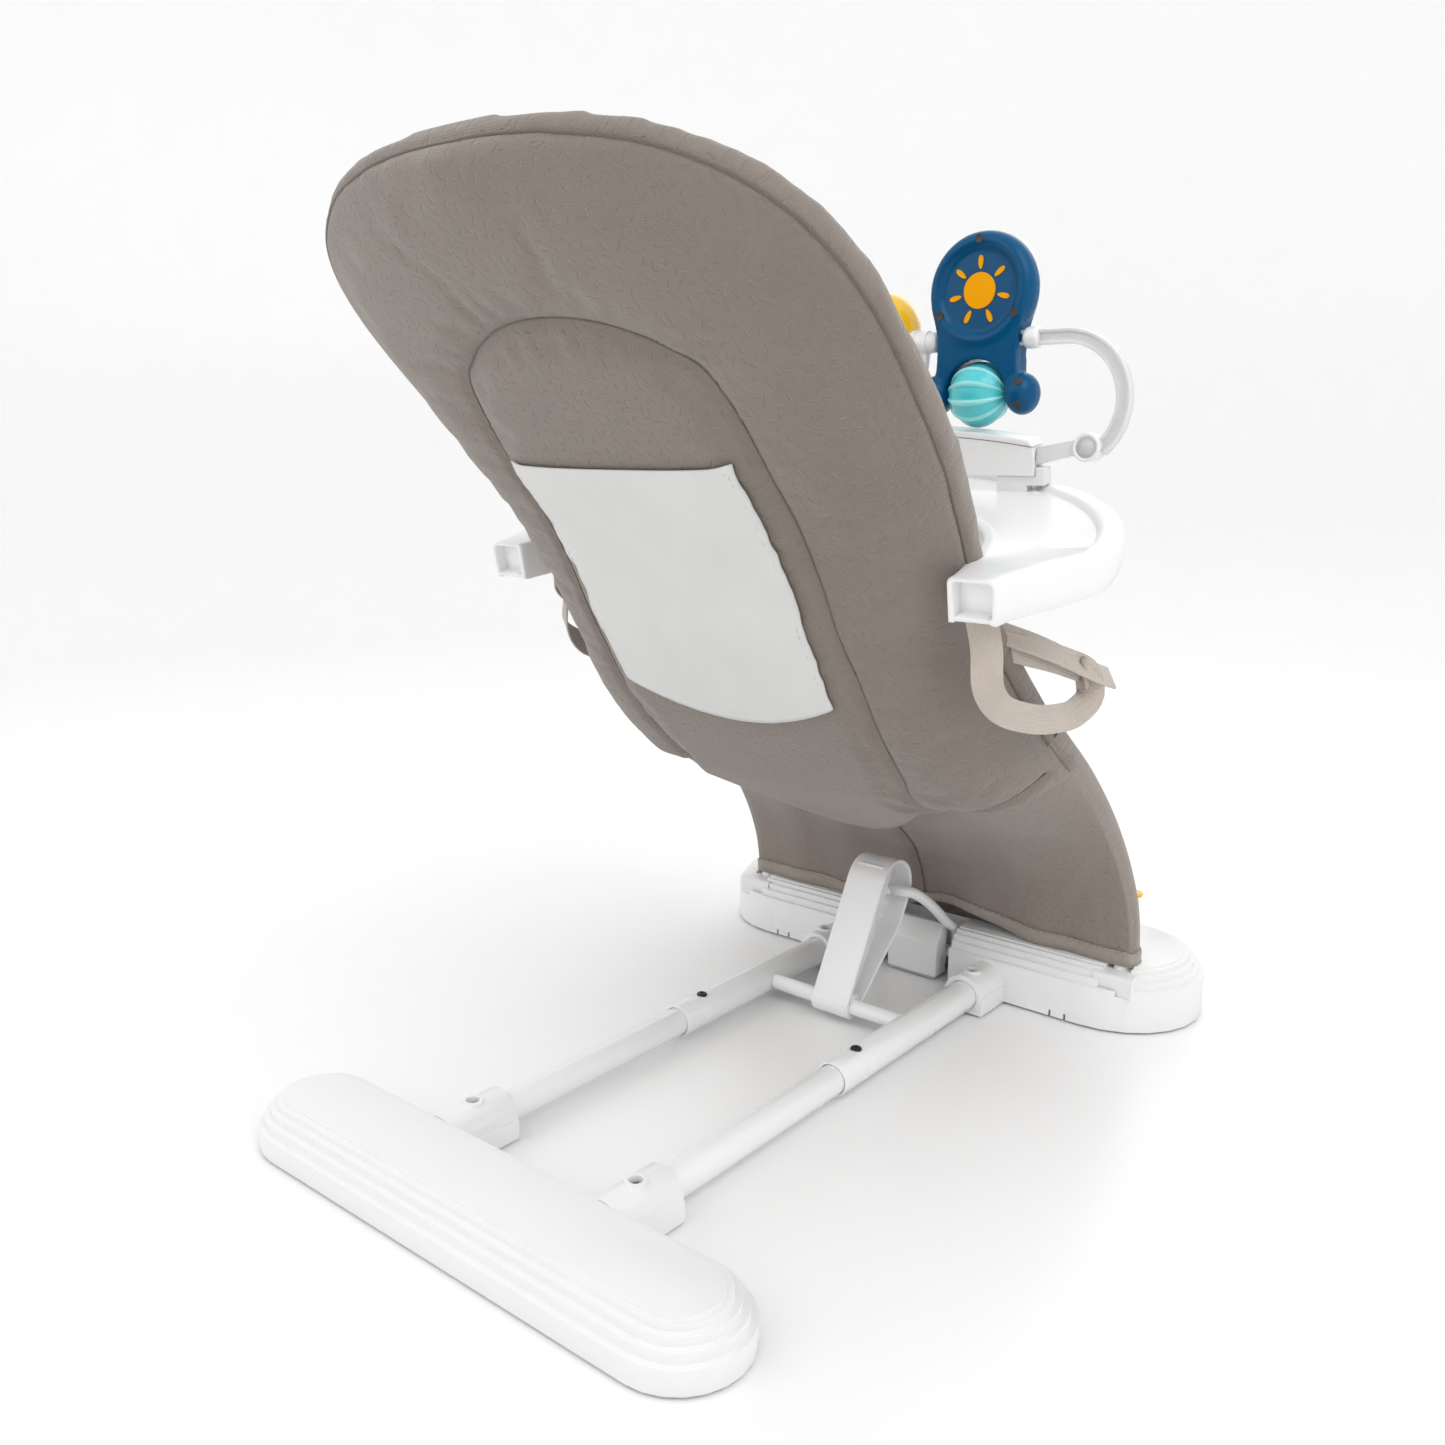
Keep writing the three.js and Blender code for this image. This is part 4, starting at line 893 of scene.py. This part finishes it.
# ---- tray: x across, v forward from the arms' line, z out of its top, turned up 10 degrees at the front ----
TRAY_Y, TRAY_Z, TRAY_TILT = 80.5, 386, math.radians(10)


def on_tray(x, v, z):
    """Points in the part's frame from tray coordinates."""
    x, v, z = np.broadcast_arrays(*(np.asarray(k, float) for k in (x, v, z)))
    c, s = math.cos(TRAY_TILT), math.sin(TRAY_TILT)
    return np.stack([x, TRAY_Y - v * c + z * s, TRAY_Z + v * s + z * c], -1)


def tray_outlines(count=110):
    """Matching points along the tray's two edges, from the left arm round the front to the right."""
    turn = np.linspace(0, np.pi / 2, 60)
    arc = np.stack([242 * np.cos(turn) ** (2 / 1.65), 70 + 250 * np.sin(turn) ** (2 / 1.65)], 1)
    outer = np.vstack([[(212, -6), (213, 6), (218, 20), (227, 38), (236, 56)], arc])
    turn = np.linspace(math.radians(10), np.pi / 2, 60)
    opening = np.stack([172 * np.cos(turn), 185 * np.sin(turn)], 1)
    inner = np.vstack([[(179, -6), (178, 2), (175, 15)], opening])
    halves = [resample(line, count) for line in (inner, outer)]
    return [np.vstack([half, (half * (-1, 1))[-2::-1]]) for half in halves]


def tray_section(wide, ahead):
    """The tray's closed section: distance from the inner edge, and height.

    ahead is 0 at the arms and 1 at the front.
    """
    dish, skirt = 4.0 * ahead, 27 - 7 * ahead
    under = 10 + (skirt - 11) * (1 - ahead)
    lip = 27 - 9 * ahead
    return np.array([
        (0, -lip), (0, -3), (0.8, -1), (2.6, 0), (6, 0), (8, -0.4 * ahead), (9.5, -0.5 * dish),
        (11.5, -dish), (wide * 0.42, -dish), (wide - 18, -dish), (wide - 16.5, -0.5 * dish),
        (wide - 15, -0.4 * ahead), (wide - 13, 0), (wide - 5, 0), (wide - 2, -0.9), (wide - 0.5, -2.6),
        (wide, -5), (wide - 0.4, -skirt * 0.6), (wide - 1.2, -skirt + 1), (wide - 2.2, -skirt),
        (wide - 4, -skirt), (wide - 4.6, -skirt + 1), (wide - 4.6, -under), (3.4, -under), (3.2, -lip),
    ])


def tray_ring(inner, outer):
    """One ring of the tray's solid."""
    wide = float(np.linalg.norm(outer - inner))
    ahead = float(np.clip(((inner[1] + outer[1]) / 2 - 25) / 70, 0, 1))
    section = tray_section(wide, eased(ahead))
    line = inner + (outer - inner) * (section[:, :1] / wide)
    return on_tray(line[:, 0], line[:, 1], section[:, 1])


def arm_end(ring, way):
    """The rings that round off an arm's end and sink its pocket."""
    middle = ring.mean(0)
    back = on_tray(0, -1, 0) - on_tray(0, 0, 0)
    steps = [(1.4, 0.985), (2.4, 0.95), (2.8, 0.9), (2.6, 0.8), (1.6, 0.76), (-6, 0.72)]
    rings = [middle + (ring - middle) * scale + back * push for push, scale in steps]
    return rings[::-1] if way > 0 else rings


def make_tray():
    """The play tray with its dished top, skirt and arms."""
    rings = [tray_ring(inner, outer) for inner, outer in zip(*tray_outlines())]
    tray = solid("play_tray", arm_end(rings[0], 1) + rings + arm_end(rings[-1], -1), WHITE)
    smooth_by_angle(tray, 50)
    place(tray, "tray", "white_plastic", "tray_shell")


# ---- toys ----
TOY_X, TOY_Y, HEAD_Z, BALL_Z = -57.0, -167.88, 572.0, 497.0


def ellipsoid(name, centre, radii, material, rows=40, columns=64):
    """A smooth closed ellipsoid."""
    lat = np.linspace(-np.pi / 2, np.pi / 2, rows)
    profile = np.stack([np.cos(lat), np.sin(lat)], 1)
    profile[[0, -1], 0] = 0.004
    obj = turned(name, profile, (0, 0, 0), (0, 0, 1), material, columns)
    set_points(obj, points_of(obj) * np.asarray(radii, float) + np.asarray(centre, float))
    return obj


def plate(name, outline, low, high, material):
    """An outline in x and z given a thickness along y."""
    return solid(name, [[(x, y, z) for x, z in outline] for y in (low, high)], material, smooth=False)


def melted(obj, voxel, rounds):
    """Joined solids as one smooth skin."""
    evened(remeshed(obj, voxel), rounds)
    smooth_faces(obj)
    return obj


def make_toy_body():
    """The blue toy: a rim about a sunk face, a waist with an arch over the ball, and two ears."""
    round_rim, turn = (np.linspace(0, 2 * np.pi, count, endpoint=False) for count in (24, 72))
    ring = [(36 + 7.4 * math.cos(a), 11.5 * math.sin(a)) for a in round_rim]
    grid = [[(r * math.cos(a) + TOY_X, y + TOY_Y, r * math.sin(a) + HEAD_Z) for r, y in ring] for a in turn]
    rim = skin("rim", grid, BLUE, True, True)
    face = turned("face", [(0.01, -7), (36, -7), (36, 7), (0.01, 7)], (TOY_X, TOY_Y, HEAD_Z), (0, 1, 0), BLUE)
    left = [(-37, BALL_Z - 6), (-34, 512), (-33, 526), (-33.5, 540), (-37, 552), (-40, 562)]
    arch = [(25.6 * math.cos(a), BALL_Z + 25.6 * math.sin(a)) for a in np.linspace(-0.22, np.pi + 0.22, 26)]
    under = np.linspace(math.radians(200), math.radians(340), 24)
    neck = [(33 * math.cos(a), HEAD_Z + 33 * math.sin(a)) for a in under]
    outline = left + neck + [(-x, z) for x, z in left[::-1]] + arch
    body = plate("waist", [(TOY_X + x, z) for x, z in outline], TOY_Y - 9.5, TOY_Y + 9.5, BLUE)
    centres = [(TOY_X + side * 36, TOY_Y, BALL_Z) for side in (1, -1)]
    ears = [ellipsoid("ear", centre, (12.5, 15.5, 15.5), BLUE) for centre in centres]
    toy = melted(joined("toy_body", [rim, face, body, *ears]), 1.1, 7)
    points = points_of(toy)
    seam = np.exp(-(((points[:, 1] - TOY_Y) / 0.7) ** 2))[:, None]
    outward = points - (TOY_X, TOY_Y, 535)
    outward[:, 1] = 0
    outward /= np.maximum(np.linalg.norm(outward, axis=1), 1)[:, None]
    set_points(toy, points - outward * seam * 0.35)
    place(toy, "spin_toy", "blue_plastic", "toy_back_shell", "toy_front_shell")
    # dark discs stand in for the screw holes: painted shade inside them
    holes = [(0, HEAD_Z + 36.5, 11.4, 0), (-31, HEAD_Z - 17, 11.2, 0), (31, HEAD_Z - 17, 11.2, 0)]
    holes += [(side * 38, BALL_Z + dz, 12.7, 0.064 * dz) for side in (1, -1) for dz in (8.5, -8.5)]
    profile = [(0.01, -2), (3.0, -2), (3.3, 0.3), (3.0, 0.5), (2.7, 0.3), (1.2, 0.1), (0.01, 0.2)]
    hole_shade_discs = [
        turned("dot", profile, (TOY_X + dx, TOY_Y + y, z), (0, 1, lean), DARK, 24)
        for dx, z, y, lean in holes
    ]
    place(joined("toy_screw_hole_shade", hole_shade_discs), "spin_toy", "dark_plastic")


def make_sun():
    """The orange disc and its seven leaf-shaped rays on the sunk face."""
    level = TOY_Y + 7.0
    profile = [(0.01, -0.6), (12.8, -0.6), (13.2, 0.7), (12.7, 1.2), (0.01, 1.5)]
    leaves = [turned("disc", profile, (TOY_X, level, HEAD_Z), (0, 1, 0), ORANGE)]
    for k in range(7):
        angle = 2 * math.pi * k / 7 + math.pi / 2
        u = np.linspace(0, 2 * np.pi, 24, endpoint=False)
        along, across = 20.3 + 5.0 * np.cos(u), 1.9 * np.sin(u) * (1 + 0.25 * np.cos(u))
        x = TOY_X + along * math.cos(angle) - across * math.sin(angle)
        z = HEAD_Z + along * math.sin(angle) + across * math.cos(angle)
        leaves.append(plate("leaf", np.stack([x, z], 1), level - 0.4, level + 0.9, ORANGE))
    place(smooth_by_angle(joined("toy_sun", leaves), 40), "spin_toy", "orange_plastic", "toy_sun_disc")


def make_roller():
    """The turquoise ball with ten raised ribs that run from side to side."""
    around = np.linspace(0, 2 * np.pi, 240, endpoint=False)
    along = np.linspace(0.06, np.pi - 0.06, 60)
    a, b = np.meshgrid(around, along, indexing="ij")
    rib = np.exp(-((((a * 10 / (2 * np.pi)) % 1 - 0.5) / 0.13) ** 2))
    radius = 23.0 + 1.5 * rib * np.sin(b) ** 0.5
    out = radius * np.sin(b)
    grid = np.stack([TOY_X + radius * np.cos(b), TOY_Y + out * np.cos(a), BALL_Z + out * np.sin(a)], -1)
    rows, columns = grid.shape[:2]
    faces = grid_faces(rows, columns, True, False)
    faces += [[i * columns for i in range(rows)], [i * columns + columns - 1 for i in range(rows)][::-1]]
    ball = mesh_object("toy_ball", grid.reshape(-1, 3), faces, TURQUOISE)
    ball.data.materials.append(RIB_TURQUOISE)
    light = [int(rib[f[0] // columns, 0] > 0.35) if len(f) == 4 else 0 for f in faces]
    ball.data.polygons.foreach_set("material_index", light)
    place(ball, "roller", "turquoise_plastic", "toy_roller")


def smooth_stand_in(name, node, body, slot, material):
    """A smooth ellipsoid in place of a CAD ball, filling the same box."""
    low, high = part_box(node)
    low, high = np.array(low) / MM, np.array(high) / MM
    place(ellipsoid(name, (low + high) / 2, (high - low) / 2, material), body, slot, node)


def make_harness():
    """The harness on the seat's front: shoulder straps with pads and sliders, and the crotch strap."""
    for name, side in SIDES.items():
        t = np.linspace(0.74, 0.375, 26)
        x = side * np.interp(t, [0.375, 0.45, 0.6, 0.74], [20, 40, 47, 45])
        line = running_mean(on_cushion(sling(t, x / half_width(t)), 2.0, -1), 2)
        strap(f"harness_strap_{name}", line, 20, SEAT_FRONT, "seat", [f"shoulder_strap_{name}"])
        pad_line = running_mean(on_cushion(sling(t[5:17], x[5:17] / half_width(t[5:17])), 6.0, -1), 2)
        count = 30
        path = resample(catmull(pad_line, 6), count)
        end = np.linspace(-1, 1, count)
        swell = (1 - np.abs(end) ** 8) ** 0.25 * 0.999 + 0.001
        a = np.linspace(0, 2 * np.pi, 40, endpoint=False)
        cos, sin = np.cos(a), np.sin(a)
        section = [22 * np.sign(cos) * np.abs(cos) ** 0.5, 5.0 * np.sign(sin) * np.abs(sin) ** 0.7]
        pad = sweep(f"harness_pad_{name}", path, np.stack(section, 1), FABRIC, SEAT_FRONT, swell)
        cloth_uv(pad)
        place(pad, "seat", "seat_fabric", f"shoulder_pad_{name}")
        at = on_cushion(sling(np.array([0.415]), np.array([side * 30 / half_width(0.415)])), 3.5, -1)[0]
        across = resample([at - (15, 0, 0), at + (15, 0, 0)], 6)
        slider = sweep(f"harness_slider_{name}", across, rounded_box(15, 4.2, 1.6), DARK, SEAT_FRONT)
        place(slider, "seat", "dark_plastic", f"strap_slider_{name}")
    t = np.linspace(0.29, 0.35, 8)
    line = on_cushion(sling(t, np.zeros(8)), 2.0, -1)
    line[-1] += (0, -4, 3)
    strap("harness_crotch_strap", line, 24, SEAT_FRONT, "seat", ["crotch_strap"])


def make_arch():
    """The arch's channelled bar with the round ends of its toy axle."""
    turn = np.radians(np.linspace(90, -48, 30))
    bend = np.stack([126 + 46 * np.cos(turn), np.full(30, TOY_Y), 491 + 46 * np.sin(turn)], 1)
    top = np.stack([np.linspace(-110, 110, 24), np.full(24, TOY_Y), np.full(24, 537.0)], 1)
    path = np.vstack([bend[::-1] * (-1, 1, 1), top, bend])
    section = [
        (-5.5, -3), (-4.6, -4.6), (-3, -5), (3, -5), (4.6, -4.6), (5.5, -3), (5.5, 3), (5, 4.2), (4, 4.4),
        (3, 4), (2.6, 2.2), (1.8, 1.2), (-1.8, 1.2), (-2.6, 2.2), (-3, 4), (-4, 4.4), (-5, 4.2), (-5.5, 3),
    ]
    bar = sweep("arch_channel", path, section, CLEAR, up=(0, 1, 0))
    smooth_by_angle(bar, 40)
    place(bar, "arch", "clear_plastic", "arch_bar")
    profile = [(0.01, -6), (6, -6), (7.6, -4.5), (8, -2), (8, 2), (7.6, 4.5), (6, 6), (0.01, 6)]
    for name, x in (("near", TOY_X - 42), ("far", TOY_X + 42)):
        end = turned(f"arch_axle_end_{name}", profile, (x, TOY_Y, 537), (1, 0, 0), WHITE, 40)
        place(end, "arch", "white_plastic")
    rim = [(0.01, -7), (9.5, -7), (10.5, -6), (10.5, 6), (9.8, 7.2), (9.0, 7.4), (8.2, 6.6), (7.6, 6.2)]
    rim += [(0.01, 6.2)]
    face = [(0.01, 6.0), (7.2, 6.0), (7.4, 6.6), (0.01, 6.9)]
    for name, side in SIDES.items():
        centre = (side * 148, TOY_Y, 458.2)
        hub = turned(f"arch_hub_{name}", rim, centre, (0, 1, 0), WHITE, 48)
        place(hub, "arch", "white_plastic", f"arch_knob_{name}")
        cap = turned(f"arch_hub_face_{name}", face, centre, (0, 1, 0), GREY_FACE, 48)
        place(cap, "arch", "white_plastic")


LEVER_LEAN, BAR_Y, BAR_Z = math.radians(28), -80.0, 15.0


def lever_point(a, b):
    """A point in the lever's plane, as y and z: a runs up the lever and b towards the front foot."""
    c, s = math.cos(LEVER_LEAN), math.sin(LEVER_LEAN)
    return np.array([BAR_Y - a * s - b * c, BAR_Z + a * c - b * s])


def make_lever():
    """The recline lever: a bent band, its middle web with three hooks, and the hub on the cross bar."""
    back, front, top = -8.4, 36.9, 103
    loop = [(2, back), (30, back), (60, back), (85, back), (top, back)]
    middle, radius = (back + front) / 2, (front - back) / 2
    loop += [(top + radius * math.sin(t), middle - radius * math.cos(t)) for t in np.linspace(0.25, 2.9, 12)]
    loop += [(top, front), (90, front), (74, front - 0.5), (60, 31), (40, 23.5), (20, 16.5)]
    loop += [(4, 10.5), (-5, 3)]
    line = np.array([[0, *lever_point(a, b)] for a, b in loop])
    closed = resample(catmull(np.vstack([line, line[:1]]), 10), 200)[:-1]
    band = sweep("lever_band", closed, rounded_box(3.2, 35, 1.3), WHITE, up=(1, 0, 0), closed=True)
    outline = [(6, -8), (115, -8), (121, 2), (117, 8), (108, 8)]
    for a in (101, 91, 81):
        outline += [(a + 2, 7), (a + 0.5, 11), (a - 1, 15.5), (a - 3.5, 15.8), (a - 5, 13.5), (a - 5.5, 9)]
    outline += [(72, 6), (60, 9), (30, 6), (6, 2)]
    flat = [lever_point(a, b) for a, b in outline]
    web = solid("web", [[(x, y, z) for y, z in flat] for x in (-12.5, 12.5)], WHITE, smooth=False)
    soft = web.modifiers.new("soft", "BEVEL")
    soft.width, soft.segments, soft.limit_method = 0.0009, 3, "ANGLE"
    apply_modifiers(web)
    profile = [(7, -17.5), (9.7, -17.5), (10.5, -16.7), (10.5, 16.7), (9.7, 17.5), (7, 17.5)]
    hub = turned("hub", profile, (0, BAR_Y, BAR_Z), (1, 0, 0), WHITE)
    lever = smooth_by_angle(joined("lever", [band, web, hub]), 40)
    place(lever, "lever", "white_plastic", "recline_lever")


def make_bail():
    """The bent rod from the pivot shaft up to the lever's hook."""
    half = np.array([
        (31.2, -223, 26.8), (31.2, -220, 42), (31.2, -202, 56), (29.2, -172.5, 81), (24.2, -156.5, 92.5),
        (17.2, -150.5, 94.5),
    ])
    line = catmull(np.vstack([half, [[0, -150.5, 94.5]], half[::-1] * (-1, 1, 1)]), 12)
    rod = tube("bail_rod", resample(line, 140), 4.5, WHITE_METAL, 28, (0, 1, 0.01))
    place(rod, "recline", "white_metal", "recline_bail")


def make_leg_sockets():
    """The plain inserts that close the front foot's slots behind the frame legs."""
    for name, side in SIDES.items():
        path = np.array([(side * 164.5, -219, 37.5), (side * 196.5, -219, 37.5)], float)
        insert = sweep(f"leg_insert_{name}", resample(path, 8), rounded_box(30, 18, 3), WHITE, up=(0, 0, 1))
        smooth_by_angle(insert, 40)
        place(insert, "base", "white_plastic")


make_tray()
make_toy_body()
make_sun()
make_roller()
make_arch()
make_lever()
make_bail()
make_leg_sockets()
make_harness()
smooth_stand_in("rattle_ball", "yellow_rattle", "rattle", "yellow_plastic", YELLOW)


# ---- camera, light and floor ----
def stage_floor():
    """A pale floor that curves up into a plain backdrop all round."""
    profile = [(0.01, 0), (600, 0), (2200, 0)]
    profile += [(2200 + 900 * math.sin(a), 900 * (1 - math.cos(a))) for a in np.linspace(0.1, 1.5, 14)]
    profile += [(3110, 2600)]
    floor = turned("floor", profile, (0, 0, -1.0), (0, 0, 1), None, 96)
    work = bmesh.new()
    work.from_mesh(floor.data)
    lid = [f for f in work.faces if len(f.verts) > 4 and f.calc_center_median().z > 1]
    bmesh.ops.delete(work, geom=lid, context="FACES")
    work.to_mesh(floor.data)
    work.free()
    floor.data.materials.append(moulded("studio_floor", linear(250, 250, 250), 0.3, 0.0, 200))


def area_light(name, location, target, size, power):
    """A large soft light that faces the target."""
    data = bpy.data.lights.new(name, "AREA")
    data.shape, data.size, data.energy = "DISK", size, power
    light = bpy.data.objects.new(name, data)
    scene.collection.objects.link(light)
    light.location = location
    light.rotation_mode = "QUATERNION"
    light.rotation_quaternion = (Vector(target) - Vector(location)).to_track_quat("-Z", "Y")


CAMERA_AT, CAMERA_AHEAD, CAMERA_ROLL = (-0.5438, 0.7361, 0.4558), (0.6178, -0.7579, -0.2094), 0.008


def set_camera():
    """A 32 mm lens behind the seat and to the child's right, looking slightly down."""
    data = bpy.data.cameras.new("camera")
    data.lens, data.sensor_width = 31.94, 36
    data.clip_start, data.clip_end = 0.05, 30
    camera = bpy.data.objects.new("camera", data)
    scene.collection.objects.link(camera)
    ahead = Vector(CAMERA_AHEAD).normalized()
    right = ahead.cross(Vector((0, 0, 1))).normalized()
    up = right.cross(ahead)
    c, s = math.cos(CAMERA_ROLL), math.sin(CAMERA_ROLL)
    right, up = right * c + up * s, up * c - right * s
    turn = Matrix((right, up, -ahead)).transposed().to_4x4()
    camera.matrix_world = Matrix.Translation(CAMERA_AT) @ turn
    scene.camera = camera


stage_floor()
set_camera()
area_light("key", (-1.6, 0.6, 2.1), (0, 0, 0.3), 1.8, 16)
area_light("fill", (0.9, 1.9, 1.5), (0, 0, 0.3), 1.8, 7)
area_light("front", (0.4, -2.0, 1.6), (0, 0, 0.3), 1.6, 4)
world = bpy.data.worlds.new("studio")
world.use_nodes = True
world.node_tree.nodes["Background"].inputs["Color"].default_value = (1, 1, 1, 1)
world.node_tree.nodes["Background"].inputs["Strength"].default_value = 0.96
scene.world = world
scene.view_settings.view_transform = "Standard"
